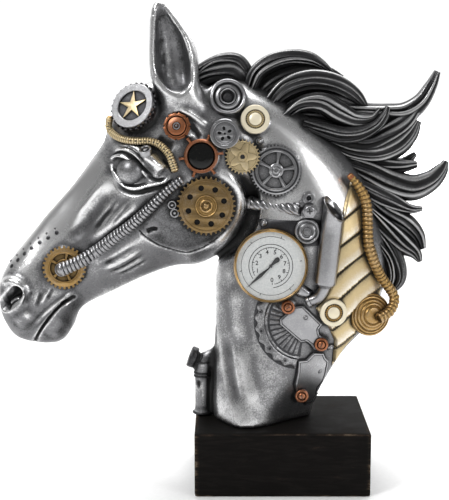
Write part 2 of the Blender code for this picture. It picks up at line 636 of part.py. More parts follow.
class Seats:
    """Finds where pieces sit on the casting, and collects the bosses and pockets they need."""

    def __init__(self, form):
        self.tree = BVHTree.FromPolygons(
            [v.co.copy() for v in form.vertices], [tuple(p.vertices) for p in form.polygons]
        )
        self.joins = front_pipe_meshes()
        self.cuts = []
        self.guard_cuts = []

    def surface(self, x, z, side=NEAR):
        """Where the side of the casting is, seen square from that side."""
        found = self.tree.ray_cast(at(x, z, side * 200), Vector((0, -side, 0)))
        return found[0] if found[0] else at(x, z, side * OPEN_SIDE_DEPTH)

    def frame(self, x, z, radius, normal=None, lift=SEAT_LIFT):
        """The frame of a flat seat: Z leaves the casting, and the origin lies on the seat's floor."""
        middle = self.surface(x, z)
        points = [middle]
        for k in range(12):
            turn = math.pi * k / 6
            for share in (0.5, 0.95):
                reach = radius * share / UNIT
                points.append(self.surface(x + reach * math.cos(turn), z + reach * math.sin(turn)))
        if normal is None:
            rows = np.array([tuple(p) for p in points])
            fit = np.c_[rows[:, 0], rows[:, 2], np.ones(len(rows))]
            slope = np.linalg.lstsq(fit, rows[:, 1], rcond=None)[0]
            normal = (slope[0], -1, slope[1])
        normal = Vector(normal).normalized()
        out = max((p - middle) @ normal for p in points)
        return frame_towards(middle + normal * (min(out, 6 * UNIT) + lift), normal)

    def seat(self, frame, radius, boss=BOSS_SHARE, depth=BOSS_DEPTH, pocket=False, guard=False, segments=11):
        """Gives a round piece a boss under its floor and, where the casting rises past it, a pocket."""
        reach = (radius + FIT_GAP) / math.cos(math.pi / segments)
        top = UNIT if pocket else 0
        self.joins.append(turned_mesh("boss", drum(radius * boss, -depth, top), segments, frame))
        if pocket:
            self.cuts.append(turned_mesh("pocket", drum(reach, 0, 13 * UNIT), segments, frame))
        if guard:
            self.guard_cuts.append(turned_mesh("pocket", drum(reach, -20 * UNIT, 20 * UNIT), segments, frame))

    def resting(self, x, z, radius, clear):
        """Where the centre of a ball of this radius lies when it rests on the near side at (x, z)."""
        room = radius + clear
        out = self.surface(x, z).y - room
        for share in (0.45, 0.85):
            for k in range(8):
                reach = share * room / UNIT
                turn = math.pi * k / 4
                skin_y = self.surface(x + reach * math.cos(turn), z + reach * math.sin(turn)).y
                out = min(out, skin_y - room * math.sqrt(1 - share**2))
        place = at(x, z)
        return Vector((place.x, out, place.z))

    def draped(self, route, radius, clear=2 * FIT_GAP, spans=2):
        """The centre line of a hose laid over the near side along a route of (x, z) points."""
        line = [self.resting(x, z, radius, clear) for x, z in spline(route, spans)]
        for _ in range(2):
            for before, point, after in zip(line, line[1:], line[2:]):
                point.y = min(point.y, (before.y + after.y) / 2)
        return line

    def slab(self, outline, out, depth, step):
        """A sheet that follows the near side inside an outline, from `depth` under it to `out` over it."""
        outline = np.array(outline, float)
        low, high = outline.min(axis=0), outline.max(axis=0)
        rim = []
        for a, b in zip(outline, np.roll(outline, -1, axis=0)):
            parts = max(1, round(np.linalg.norm(b - a) / step))
            rim += [tuple(a + (b - a) * k / parts) for k in range(parts)]
        inner = []
        for row, z in enumerate(np.arange(low[1] + step / 2, high[1], step)):
            for x in np.arange(low[0] + step / 2 * (1 + row % 2), high[0], step):
                away = stroke_distance(np.array([[x, z]]), outline_loop(outline))[0]
                if inside(x, z, outline) and away > step / 2:
                    inner.append((x, z))
        points = [Vector(p) for p in rim + inner]
        edges = [(k, (k + 1) % len(rim)) for k in range(len(rim))]
        flat, _, triangles = delaunay_2d_cdt(points, edges, [], 1, 1e-6)[:3]
        under, over = [], []
        for p in flat:
            skin_point = self.surface(*p)
            under.append(skin_point + Vector((0, depth, 0)))
            over.append(skin_point - Vector((0, out, 0)))
        count = len(flat)
        border = boundary(triangles)
        faces = [tuple(t) for t in triangles]
        faces += [tuple(count + i for i in reversed(t)) for t in triangles]
        faces += [(a, b, count + b, count + a) for a, b in border]
        mesh = mesh_from("slab", under + over, faces)
        face_outwards(mesh)
        return mesh


def inside(x, z, outline):
    """Whether a point of the side view lies inside a closed outline."""
    odd = False
    for (ax, az), (bx, bz) in zip(outline, np.roll(outline, -1, axis=0)):
        if (az > z) != (bz > z) and x < ax + (z - az) * (bx - ax) / (bz - az):
            odd = not odd
    return odd


def outline_loop(outline):
    return np.vstack([outline, outline[:1]])


def boundary(triangles):
    """The directed edges that only one triangle has."""
    edges = {}
    for tri in triangles:
        for a, b in zip(tri, tri[1:] + tri[:1]):
            if (b, a) in edges:
                del edges[(b, a)]
            else:
                edges[(a, b)] = True
    return list(edges)


def grown(outline, margin):
    """The outline pushed out by a margin, corner by corner."""
    outline = np.array(outline, float)
    before, after = np.roll(outline, 1, axis=0), np.roll(outline, -1, axis=0)
    area = np.sum(outline[:, 0] * after[:, 1] - after[:, 0] * outline[:, 1])
    turn = 1 if area > 0 else -1
    out = []
    for a, p, b in zip(before, outline, after):
        first, second = (p - a) / np.linalg.norm(p - a), (b - p) / np.linalg.norm(b - p)
        one, two = np.array([first[1], -first[0]]), np.array([second[1], -second[0]])
        way = one + two
        out.append(tuple(p + turn * margin * way / max(0.5, 1 + one @ two)))
    return out


def drum(radius, low, high):
    return [(0, low), (radius, low), (radius, high), (0, high)]


def raised(frame, height):
    return frame @ Matrix.Translation((0, 0, height))


def above(frame, lower, thickness):
    """The frame moved out along its normal until a piece on it clears the top of a lower piece."""
    normal = (frame.to_3x3() @ Vector((0, 0, 1))).normalized()
    top = lower @ Vector((0, 0, thickness + FIT_GAP))
    need = (top - frame.translation) @ normal
    moved = frame.copy()
    moved.translation = frame.translation + normal * max(need, 0)
    return moved


def clear_of(frame, thickness, point, radius):
    """How far a ball at the point has to move along Y to clear the top of a piece on the frame."""
    normal = (frame.to_3x3() @ Vector((0, 0, 1))).normalized()
    top = frame @ Vector((0, 0, thickness + 2 * FIT_GAP + radius))
    return ((top - point) @ normal) / normal.y


def toothed(teeth, tip, root):
    """A gear's outline with pointed teeth."""
    points = []
    for k in range(teeth):
        for share, radius in ((-0.25, root), (0.25, tip)):
            turn = 2 * math.pi * (k + share) / teeth
            points.append((radius * math.cos(turn), radius * math.sin(turn)))
    return points


def circle(radius, segments, centre=(0, 0)):
    turns = [2 * math.pi * k / segments for k in range(segments)]
    return [(centre[0] + radius * math.cos(t), centre[1] + radius * math.sin(t)) for t in turns]


def window(inner, outer, start, end):
    """A sector window between two radii and two angles, narrower at its inner side."""
    turns = [start + (end - start) * k / 4 for k in range(5)]
    outline = [(outer * math.cos(t), outer * math.sin(t)) for t in turns]
    trim = (end - start) * 0.14
    turns = [end - trim, (start + end) / 2, start + trim]
    return outline + [(inner * math.cos(t), inner * math.sin(t)) for t in turns]


def flat_part(name, outlines, thickness, frame, spec):
    """A flat plate cut to its outlines, holes included, standing on its frame."""
    curve = bpy.data.curves.new(name, "CURVE")
    curve.dimensions = "2D"
    curve.fill_mode = "BOTH"
    curve.extrude = thickness / 2
    for outline in outlines:
        line = curve.splines.new("POLY")
        line.points.add(len(outline) - 1)
        for point, (x, y) in zip(line.points, outline):
            point.co = (x, y, 0, 1)
        line.use_cyclic_u = True
    sheet = new_object("sheet", curve)
    mesh = applied_copy(sheet)
    bpy.data.objects.remove(sheet)
    mesh.name = name
    return new_object(name, welded(mesh), spec, raised(frame, FIT_GAP + thickness / 2))


def welded(mesh):
    work = bmesh.new()
    work.from_mesh(mesh)
    bmesh.ops.remove_doubles(work, verts=work.verts, dist=1e-6)
    bmesh.ops.recalc_face_normals(work, faces=work.faces)
    work.to_mesh(mesh)
    work.free()
    return mesh


def turned_part(name, profile, segments, frame, spec):
    """A turned piece standing on its frame."""
    obj = new_object(name, turned_mesh(name, profile, segments), spec, raised(frame, FIT_GAP))
    return smoothed(obj)


def smoothed(obj, angle=35):
    obj.data.shade_smooth()
    obj.data.set_sharp_from_angle(angle=math.radians(angle))
    return obj


def boolean(obj, tool_mesh, operation, solver="EXACT"):
    """Joins tool_mesh to obj, or cuts it out of obj. tool_mesh is in world space."""
    helper = new_object("helper", tool_mesh)
    helper.hide_render = True
    helper.display_type = "WIRE"
    step = obj.modifiers.new(operation.lower(), "BOOLEAN")
    step.operation = operation
    step.object = helper
    step.solver = solver
    mesh = applied_copy(obj)
    obj.modifiers.clear()
    bpy.data.objects.remove(helper)
    mesh.name = obj.name
    obj.data = mesh


def applied_copy(obj):
    bpy.context.view_layer.update()
    graph = bpy.context.evaluated_depsgraph_get()
    return bpy.data.meshes.new_from_object(obj.evaluated_get(graph))


def tube(route, radii, spans, sides):
    """A round bar along a smooth curve through the route, with a radius at each point of it."""
    rows = spline([(*point, radius) for point, radius in zip(route, radii)], spans)
    rings = []
    for i, row in enumerate(rows):
        ahead = Vector(rows[min(i + 1, len(rows) - 1)][:3] - rows[max(i - 1, 0)][:3])
        frame = frame_towards(row[:3], ahead, up=(0, -1, 0))
        ring = []
        for k in range(sides):
            turn = 2 * math.pi * k / sides
            ring.append(tuple(frame @ Vector((row[3] * math.cos(turn), row[3] * math.sin(turn), 0))))
        rings.append(ring)
    return skin("tube", rings)


def hose(name, route, radii, sides, spec):
    """A cast hose through world points."""
    return smoothed(new_object(name, tube(route, radii, 1, sides), spec), 60)


def main():
    clear_scene()
    build_plinth()
    casting = thinned("horse_head", casting_form(), CASTING_TRIANGLES)
    seats = Seats(casting)
    dress_face(seats)
    dress_temple(seats)
    dress_neck(seats)
    build_casting(casting, seats)


def build_plinth():
    bpy.ops.mesh.primitive_cube_add(size=1)
    plinth = bpy.context.object
    plinth.name = "plinth"
    plinth.data.transform(Matrix.Diagonal((PLINTH_LENGTH, PLINTH_DEPTH, PLINTH_HEIGHT, 1)))
    plinth.location = (0, 0, PLINTH_HEIGHT / 2)
    plinth.data.materials.append(material(BLACK))
    bevel = plinth.modifiers.new("softened edges", "BEVEL")
    bevel.width = PLINTH_EDGE_BEVEL
    bevel.segments = 2


def dress_face(seats):
    """The star gear, the brow hose, the muzzle gear, the cheek gear and the hose between them."""
    frame = seats.frame(*STAR_GEAR_PLACE, STAR_GEAR_RADIUS, normal=STAR_GEAR_FACING)
    seats.seat(frame, STAR_GEAR_RADIUS, boss=0.8, depth=20 * UNIT)
    root = STAR_GEAR_RADIUS * 0.9
    outline = toothed(STAR_GEAR_TEETH, STAR_GEAR_RADIUS, root)
    gear = flat_part("star_gear", [outline], STAR_GEAR_THICKNESS, frame, STEEL)
    dish_floor = STAR_GEAR_THICKNESS - STAR_GEAR_DISH_DEPTH
    dish = turned_mesh("dish", drum(STAR_GEAR_DISH_RADIUS, dish_floor, 20 * UNIT), 18, raised(frame, FIT_GAP))
    boolean(gear, dish, "DIFFERENCE")
    turns = [math.radians(90 + 36 * k) for k in range(10)]
    radii = [BROW_STAR_RADIUS if k % 2 == 0 else BROW_STAR_RADIUS * 0.42 for k in range(10)]
    star = [(r * math.cos(t), r * math.sin(t)) for r, t in zip(radii, turns)]
    flat_part("star", [star], BROW_STAR_THICKNESS, raised(frame, FIT_GAP + dish_floor), BRASS)

    route = seats.draped(BROW_HOSE_ROUTE, BROW_HOSE_RADIUS)
    hose("brow_hose", route, [BROW_HOSE_RADIUS] * len(route), 6, BRASS)

    muzzle = seats.frame(*MUZZLE_GEAR_PLACE, MUZZLE_GEAR_RADIUS)
    seats.seat(muzzle, MUZZLE_GEAR_RADIUS)
    outlines = [toothed(MUZZLE_GEAR_TEETH, MUZZLE_GEAR_RADIUS, MUZZLE_GEAR_RADIUS * 0.87)]
    for k in range(5):
        start = 2 * math.pi * (k + 0.12) / 5
        end = start + math.radians(55)
        outlines.append(window(MUZZLE_GEAR_RADIUS * 0.4, MUZZLE_GEAR_RADIUS * 0.72, start, end))
    flat_part("muzzle_gear", outlines, MUZZLE_GEAR_THICKNESS, muzzle, BRASS)

    cheek = seats.frame(*CHEEK_GEAR_PLACE, CHEEK_GEAR_RADIUS, normal=TEMPLE_FACING)
    seats.seat(cheek, CHEEK_GEAR_RADIUS)
    outlines = [toothed(CHEEK_GEAR_TEETH, CHEEK_GEAR_RADIUS, CHEEK_GEAR_RADIUS * 0.91)]
    for k in range(CHEEK_GEAR_HOLES):
        turn = 2 * math.pi * (k + 0.35) / CHEEK_GEAR_HOLES
        reach = CHEEK_GEAR_RADIUS * 0.64
        centre = (reach * math.cos(turn), reach * math.sin(turn))
        outlines.append(circle(CHEEK_GEAR_RADIUS * 0.105, 6, centre))
    gear = flat_part("cheek_gear", outlines, CHEEK_GEAR_THICKNESS, cheek, BRASS)
    top = CHEEK_GEAR_THICKNESS + CHEEK_HUB_HEIGHT
    hub = [(0, CHEEK_GEAR_THICKNESS / 2), (CHEEK_HUB_RADIUS, CHEEK_GEAR_THICKNESS / 2)]
    hub += [(CHEEK_HUB_RADIUS, top - 1.2 * UNIT), (CHEEK_HUB_RADIUS * 0.45, top - 1.2 * UNIT)]
    hub += [(CHEEK_HUB_RADIUS * 0.3, top), (0, top)]
    boolean(gear, turned_mesh("hub", hub, 12, raised(cheek, FIT_GAP)), "UNION")

    route = seats.draped(MUZZLE_HOSE_ROUTE, MUZZLE_HOSE_RADIUS * MUZZLE_HOSE_SWELL)
    swell = [(MUZZLE_HOSE_SWELL - 1) * (1 - k / (len(route) - 1)) for k in range(len(route))]
    radii = [MUZZLE_HOSE_RADIUS * (1 + share) for share in swell]
    for point, radius in zip(route, radii):
        if (point - muzzle.translation).length < MUZZLE_GEAR_RADIUS + 2 * radius:
            point.y = min(point.y, point.y + clear_of(muzzle, MUZZLE_GEAR_THICKNESS, point, radius))
    hose("muzzle_hose", route, radii, 7, STEEL)


def dress_temple(seats):
    """The washers, caps and gears between the ear and the cheek."""
    spoked = seats.frame(*SPOKED_GEAR_PLACE, SPOKED_GEAR_RADIUS, normal=TEMPLE_FACING)
    seats.seat(spoked, SPOKED_GEAR_RADIUS)
    outlines = [toothed(SPOKED_GEAR_TEETH, SPOKED_GEAR_RADIUS, SPOKED_GEAR_RADIUS * 0.93)]
    for k in range(SPOKED_GEAR_SPOKES):
        start = math.radians(14) + 2 * math.pi * k / SPOKED_GEAR_SPOKES
        end = start + math.radians(58)
        outlines.append(window(SPOKED_GEAR_RADIUS * 0.26, SPOKED_GEAR_RADIUS * 0.7, start, end))
    flat_part("spoked_gear", outlines, SPOKED_GEAR_THICKNESS, spoked, STEEL)

    temple = seats.frame(*TEMPLE_GEAR_PLACE, TEMPLE_GEAR_RADIUS, normal=TEMPLE_FACING)
    temple = above(temple, spoked, SPOKED_GEAR_THICKNESS)
    seats.seat(temple, TEMPLE_GEAR_RADIUS, boss=0.55)
    outlines = [toothed(TEMPLE_GEAR_TEETH, TEMPLE_GEAR_RADIUS, TEMPLE_GEAR_RADIUS * 0.88)]
    outlines.append(circle(TEMPLE_GEAR_RADIUS * 0.12, 8))
    flat_part("temple_gear", outlines, TEMPLE_GEAR_THICKNESS, temple, PALE_BRASS)

    lens = seats.frame(*LENS_PLACE, LENS_RING_RADIUS, normal=TEMPLE_FACING)
    seats.seat(lens, LENS_RING_RADIUS + LENS_LUG_REACH, boss=0.6, pocket=True)
    outline = []
    for k in range(LENS_RING_LUGS):
        turn = 2 * math.pi * k / LENS_RING_LUGS + math.radians(8)
        for angle, radius in ((-13, 0), (-8, 0), (-6.5, 1), (6.5, 1), (8, 0), (13, 0)):
            radius = LENS_RING_RADIUS + radius * LENS_LUG_REACH
            bearing = turn + math.radians(angle)
            outline.append((radius * math.cos(bearing), radius * math.sin(bearing)))
    inner = LENS_RING_RADIUS - LENS_RING_WALL
    flat_part("lens_ring", [outline, circle(inner, 16)], LENS_RING_THICKNESS, lens, COPPER)
    r, h = inner - FIT_GAP, LENS_THICKNESS
    profile = [(0, 0), (r, 0), (r, h), (r * 0.7, h + 0.9 * UNIT), (0, h + 1.4 * UNIT)]
    turned_part("lens", profile, 16, lens, GLOSS_BLACK)

    vent = seats.frame(*VENT_DISC_PLACE, VENT_DISC_RADIUS, normal=TEMPLE_FACING)
    vent = above(vent, temple, TEMPLE_GEAR_THICKNESS)
    vent = above(vent, lens, LENS_RING_THICKNESS)
    seats.seat(vent, VENT_DISC_RADIUS, boss=0.7)
    r, h = VENT_DISC_RADIUS, VENT_DISC_THICKNESS
    profile = [(0, 0), (r, 0), (r, h * 0.78), (r * 0.93, h), (r * 0.8, h), (r * 0.7, h * 0.67), (0, h * 0.67)]
    turned_part("vent_disc", profile, 16, vent, STEEL)

    poll = seats.frame(*POLL_WASHER_PLACE, POLL_WASHER_RADIUS, normal=POLL_FACING)
    seats.seat(poll, POLL_WASHER_RADIUS)
    r, h = POLL_WASHER_RADIUS, POLL_WASHER_THICKNESS
    profile = [(0, 0), (r, 0), (r, h * 0.7), (r * 0.93, h), (r * 0.84, h), (r * 0.74, h * 0.6)]
    profile += [(r * 0.56, h * 0.6), (r * 0.5, h * 0.95), (r * 0.42, h * 0.95)]
    profile += [(r * 0.36, h * 0.35), (0, h * 0.35)]
    turned_part("poll_washer", profile, 18, poll, STEEL)

    cap = seats.frame(*CAP_NUT_PLACE, CAP_NUT_RADIUS, normal=CAP_NUT_FACING)
    seats.seat(cap, CAP_NUT_RADIUS)
    r, h = CAP_NUT_RADIUS, CAP_NUT_THICKNESS
    profile = [(0, 0), (r, 0), (r, h * 0.55), (r * 0.93, h * 0.65), (r * 0.78, h * 0.65)]
    profile += [(r * 0.7, h), (0, h)]
    turned_part("cap_nut", profile, 8, cap, COPPER)

    size = (TEMPLE_WASHER_RADIUS, TEMPLE_WASHER_THICKNESS)
    washer(seats, "temple_washer", TEMPLE_WASHER_PLACE, size, POLL_FACING)


def washer(seats, name, place, size, facing, lift=SEAT_LIFT, guard=False):
    """A plain washer with a domed rivet in its middle. The size is its radius and its thickness."""
    r, h = size
    frame = seats.frame(*place, r, normal=facing, lift=lift)
    seats.seat(frame, r, pocket=guard, guard=guard)
    profile = [(0, 0), (r, 0), (r, h * 0.75), (r * 0.93, h), (r * 0.66, h), (r * 0.6, h * 0.6)]
    turned_part(name, profile + [(r * 0.46, h), (0, h * 1.15)], 14, frame, PALE_BRASS)
    return frame


def dress_neck(seats):
    """The gauge, the rod, the exhaust pipe, the brass guard with its hose, and the copper bolts."""
    gauge = seats.frame(*GAUGE_PLACE, GAUGE_RADIUS, normal=GAUGE_FACING)
    seats.seat(gauge, GAUGE_RADIUS, segments=18)
    r, h, wall = GAUGE_RADIUS, GAUGE_HEIGHT, GAUGE_RIM_WALL
    profile = [(r, 0), (r, h * 0.75), (r - wall * 0.4, h), (r - wall, h * 0.9), (r - wall, 0)]
    bezel = new_object("gauge_bezel", ring_mesh("gauge_bezel", profile, 26), BRASS, raised(gauge, FIT_GAP))
    smoothed(bezel)
    turned_part("gauge_dial", drum(r - wall - FIT_GAP, 0, GAUGE_DIAL_THICKNESS), 26, gauge, DIAL_WHITE)
    needle = [(x * r, y * r) for x, y in GAUGE_NEEDLE]
    dial_top = raised(gauge, FIT_GAP + GAUGE_DIAL_THICKNESS)
    flat_part("gauge_needle", [needle], GAUGE_NEEDLE_THICKNESS, dial_top, BLACK)

    disc = seats.frame(*SPRING_DISC_PLACE, SPRING_DISC_RADIUS, normal=GAUGE_FACING)
    seats.seat(disc, SPRING_DISC_RADIUS)
    r, h = SPRING_DISC_RADIUS, SPRING_DISC_THICKNESS
    profile = [(0, 0), (r, 0), (r, h * 0.6), (r * 0.92, h * 0.75), (r * 0.75, h * 0.75)]
    profile += [(r * 0.62, h), (0, h)]
    turned_part("spring_disc", profile, 14, disc, STEEL)

    build_rod(seats)
    build_exhaust(seats)
    for outline in STEEL_PLATES:
        seats.joins.append(seats.slab(outline, STEEL_PLATE_LIFT, STEEL_PLATE_ROOT, 9))

    coil = seats.frame(*COIL_PLACE, COIL_RADIUS * 0.7, normal=COIL_FACING)
    seats.seat(coil, COIL_RADIUS, depth=20 * UNIT, pocket=True, guard=True)
    r, h = COIL_RADIUS, COIL_HEIGHT
    profile = [(0, 0), (r, 0), (r, h * 0.35), (r * 0.88, h * 0.5), (r * 0.7, h * 0.5), (r * 0.62, h * 0.75)]
    profile += [(r * 0.42, h * 0.75), (r * 0.34, h), (0, h)]
    turned_part("coil_disc", profile, 18, coil, BRASS)
    size = (NECK_WASHER_RADIUS, NECK_WASHER_THICKNESS)
    washer(seats, "neck_washer", NECK_WASHER_PLACE, size, GUARD_FACING, BOLT_LIFT, guard=True)

    route = seats.draped(NECK_HOSE_ROUTE, NECK_HOSE_RADIUS, NECK_PLATE_THICKNESS)
    route += [coil @ Vector(point) for point in in_metres(COIL_HOSE_ROUTE)]
    hose("neck_hose", route, [NECK_HOSE_RADIUS] * len(route), 6, BRASS)

    for k, (x, z) in enumerate(BOLT_PLACES):
        frame = seats.frame(x, z, BOLT_RADIUS, normal=GAUGE_FACING, lift=BOLT_LIFT)
        seats.seat(frame, BOLT_RADIUS, segments=8)
        r, h = BOLT_RADIUS, BOLT_HEIGHT
        profile = [(0, 0), (r, 0), (r, h * 0.5), (r * 0.5, h * 0.7), (r * 0.38, h), (0, h)]
        turned_part(f"copper_bolt_{k + 1}", profile, 10, frame, COPPER)

    slab = seats.slab(NECK_GUARD, NECK_PLATE_THICKNESS - GUARD_SINK, GUARD_SINK, GUARD_FACET)
    guard = new_object("neck_guard", slab, PALE_BRASS)
    room = seats.slab(grown(NECK_GUARD, 0.5), 20 * UNIT, GUARD_SINK + 3 * FIT_GAP, GUARD_FACET)
    seats.cuts.append(room)
    for cutter in seats.guard_cuts:
        boolean(guard, cutter, "DIFFERENCE")
    keep_largest(guard)
    smoothed(guard, 40)


def keep_largest(obj):
    """Drops the crumbs that cutting leaves beside the piece itself."""
    mesh = applied(obj.copy())
    obj.data = mesh


def build_rod(seats):
    """The twisted rod with its lug and its hexagonal nut."""
    left, right = ROD_ENDS
    reach = ROD_RADIUS
    places = []
    for x, z in (left, right):
        places.append(seats.surface(x, z) - Vector((0, reach * 0.45, 0)))
    rod = new_object("twisted_rod", tube(places, [reach, reach], 1, 12), STEEL)
    nut_frame = frame_towards(places[1] + Vector((4.5, 4, -0.5)) * UNIT, (0, -1, 0))
    boolean(rod, turned_mesh("nut", drum(ROD_NUT_RADIUS, -4 * UNIT, reach + 4 * UNIT), 6, nut_frame), "UNION")
    seats.cuts.append(tube(stretched(places, 2 * FIT_GAP), [reach + 2 * FIT_GAP] * 2, 1, 12))
    room = drum(ROD_NUT_RADIUS + 2 * FIT_GAP, -4.5 * UNIT, 30 * UNIT)
    seats.cuts.append(turned_mesh("nut", room, 6, nut_frame))
    smoothed(rod)


def stretched(ends, extra):
    along = (ends[1] - ends[0]).normalized() * extra
    return [ends[0] - along, ends[1] + along]


def build_exhaust(seats):
    """The exhaust pipe: a straight pipe with a slanted mouth, on a thinner elbow."""
    foot = seats.surface(*PIPE_FOOT) - Vector((0, PIPE_RADIUS * 0.55, 0))
    head = seats.surface(*PIPE_HEAD) - Vector((0, PIPE_RADIUS * 0.95, 0))
    along = (head - foot).normalized()
    length = (head - foot).length
    frame = frame_towards(foot, along, up=(0, -1, 0))
    straight = turned_mesh("pipe", drum(PIPE_RADIUS, 0, length + 10 * UNIT), 16, frame)
    pipe = new_object("exhaust_pipe", straight, STEEL)
    elbow = [foot + along * 4 * UNIT, foot - along * 4 * UNIT]
    for x, z, lift in ELBOW_ROUTE:
        elbow.append(seats.surface(x, z) - Vector((0, lift * UNIT, 0)))
    boolean(pipe, tube(elbow, [ELBOW_RADIUS] * len(elbow), 2, 10), "UNION")
    hollow = drum(PIPE_RADIUS - PIPE_WALL, length - PIPE_BORE_DEPTH, length + 30 * UNIT)
    bore = turned_mesh("bore", hollow, 16, frame)
    boolean(pipe, bore, "DIFFERENCE")
    mouth = frame_towards(head - along * 6 * UNIT, PIPE_MOUTH_FACING)
    boolean(pipe, turned_mesh("mouth", drum(50 * UNIT, 0, 50 * UNIT), 4, mouth), "DIFFERENCE")
    smoothed(pipe)
    reach = PIPE_RADIUS + 1.6 * FIT_GAP
    clearance = drum(reach, -2 * FIT_GAP, length + 12 * UNIT)
    wide = elbow[:-1] + [elbow[-1] + (elbow[-1] - elbow[-2]).normalized() * 2 * FIT_GAP]
    for cutters in (seats.cuts, seats.guard_cuts):
        cutters.append(turned_mesh("clearance", clearance, 16, frame))
        cutters.append(tube(wide, [ELBOW_RADIUS + 1.6 * FIT_GAP] * len(wide), 2, 10))


def build_casting(mesh, seats):
    """The casting with its bosses joined to it and its seats cut out of it."""
    obj = new_object("horse_head", mesh, SILVER)
    # The exact solver leaves open edges on this free-form skin, and the manifold one doesn't.
    for join in seats.joins:
        boolean(obj, join, "UNION", "MANIFOLD")
    for cut in seats.cuts:
        boolean(obj, cut, "DIFFERENCE", "MANIFOLD")
    smoothed(obj, 50)


main()
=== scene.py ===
"""Looks of the steampunk horse head: a cast horse head with a swept mane on a block plinth, dressed with
gears, washers, hoses, a pressure gauge and an exhaust pipe.

The head looks along -X, its near side is -Y and +Z is up. The figure's own points are written in figure
units, one thousandth of a metre, measured from the middle of the plinth's top.
"""

import math

import bmesh
import bpy
import numpy as np
from bpy.props import FloatProperty, FloatVectorProperty, IntProperty, PointerProperty
from mathutils import Matrix, Vector
from mathutils.bvhtree import BVHTree
from mathutils.geometry import delaunay_2d_cdt


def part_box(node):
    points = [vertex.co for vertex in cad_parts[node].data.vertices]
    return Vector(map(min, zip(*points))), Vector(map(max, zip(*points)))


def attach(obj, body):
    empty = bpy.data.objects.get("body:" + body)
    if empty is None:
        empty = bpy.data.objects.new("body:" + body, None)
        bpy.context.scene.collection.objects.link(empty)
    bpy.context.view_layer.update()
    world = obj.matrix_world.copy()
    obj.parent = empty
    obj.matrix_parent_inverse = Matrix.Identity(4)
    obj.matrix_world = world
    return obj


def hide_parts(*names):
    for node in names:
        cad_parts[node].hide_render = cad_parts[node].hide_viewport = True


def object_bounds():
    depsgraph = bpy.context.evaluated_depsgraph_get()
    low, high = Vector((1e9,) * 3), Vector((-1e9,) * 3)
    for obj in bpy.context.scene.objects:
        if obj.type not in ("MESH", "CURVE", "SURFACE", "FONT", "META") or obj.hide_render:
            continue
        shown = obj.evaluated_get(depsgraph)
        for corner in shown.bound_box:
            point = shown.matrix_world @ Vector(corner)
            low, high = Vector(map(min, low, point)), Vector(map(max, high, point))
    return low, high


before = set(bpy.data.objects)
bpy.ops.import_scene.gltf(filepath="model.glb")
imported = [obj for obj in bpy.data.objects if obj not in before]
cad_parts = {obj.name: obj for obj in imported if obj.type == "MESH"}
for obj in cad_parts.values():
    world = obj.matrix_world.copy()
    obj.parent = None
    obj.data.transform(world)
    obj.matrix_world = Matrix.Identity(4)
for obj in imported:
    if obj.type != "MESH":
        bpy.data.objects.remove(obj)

bl_info = {
    "name": "Steampunk Horse Head",
    "version": (1, 0, 0),
    "blender": (4, 5, 0),
    "location": "View3D > Sidebar > Horse Head",
    "description": "Builds the finished horse head: casting, mane, gears, hoses, gauge and plinth",
    "category": "Object",
}

UNIT = 0.001
PLINTH_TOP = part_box("plinth")[1].z
SEAM = 0.0003
NEAR = -1.0
FAR = 1.0
# Distance at which points merge, distance kept inside the CAD's box, strength of the dark wash in the
# hollows and where pieces meet (an ambient occlusion: partly patina, partly painted shade), and the most
# triangles in the casting's skin.
MERGE = 1e-6
INSET = 1e-4
WASH_AND_SHADE = 0.75
MOST_TRIANGLES = 190000
CAD_BOX = [list(corner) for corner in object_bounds()]

# Head sections from the muzzle to the poll: the point on the nose line (x, z), the point on the jaw line
# (x, z), and the half widths at five even steps between them.
HEAD_SECTIONS = [
    ((-236.5, 112), (-235, 94), (8, 10, 11, 10, 8)),
    ((-234, 121), (-232, 82), (13, 17, 19, 17, 13)),
    ((-226, 135), (-222, 68), (16, 21, 23, 21, 15)),
    ((-213, 151), (-202, 63), (16, 22, 24, 23, 17)),
    ((-204, 162), (-185, 65), (15, 20, 24, 23, 17)),
    ((-196, 172), (-175, 78), (14, 18, 23, 22, 15)),
    ((-187, 182), (-167, 94), (14, 17, 21, 20, 13)),
    ((-173, 198), (-142, 107), (15, 18, 21, 20, 13)),
    ((-158, 218), (-115, 120), (18, 24, 28, 25, 16)),
    ((-147, 234), (-90, 129), (22, 32, 34, 30, 20)),
    ((-143, 249), (-66, 132), (26, 36, 38, 36, 25)),
    ((-134, 264), (-42, 148), (27, 37, 39, 39, 30)),
    ((-116, 279), (-24, 175), (26, 35, 38, 38, 31)),
    ((-96, 284), (-14, 200), (24, 32, 35, 36, 30)),
    ((-75, 284), (-10, 225), (20, 27, 31, 32, 26)),
    ((-58, 277), (-20, 245), (12, 18, 22, 20, 14)),
]

# Neck sections from the foot to the poll: throat point, crest point and half widths.
NECK_SECTIONS = [
    ((-57, 0), (26, 0), (30, 46, 40, 23, 12)),
    ((-58, 15), (30, 15), (28, 43, 39, 25, 13)),
    ((-57, 35), (40, 35), (26, 39, 38, 28, 15)),
    ((-56, 58), (53, 56), (25, 37, 38, 30, 18)),
    ((-55, 85), (72, 78), (24, 36, 38, 33, 20)),
    ((-55, 110), (85, 106), (24, 36, 38, 34, 21)),
    ((-54, 130), (89, 138), (24, 36, 38, 34, 21)),
    ((-46, 148), (84, 166), (24, 36, 38, 33, 19)),
    ((-36, 170), (74, 194), (24, 35, 37, 31, 17)),
    ((-32, 195), (55, 223), (22, 33, 35, 29, 16)),
    ((-36, 220), (30, 248), (20, 31, 32, 27, 16)),
    ((-48, 242), (2, 267), (18, 28, 30, 25, 15)),
    ((-62, 258), (-28, 281), (16, 24, 26, 22, 13)),
    ((-75, 266), (-50, 285), (10, 16, 18, 16, 10)),
]

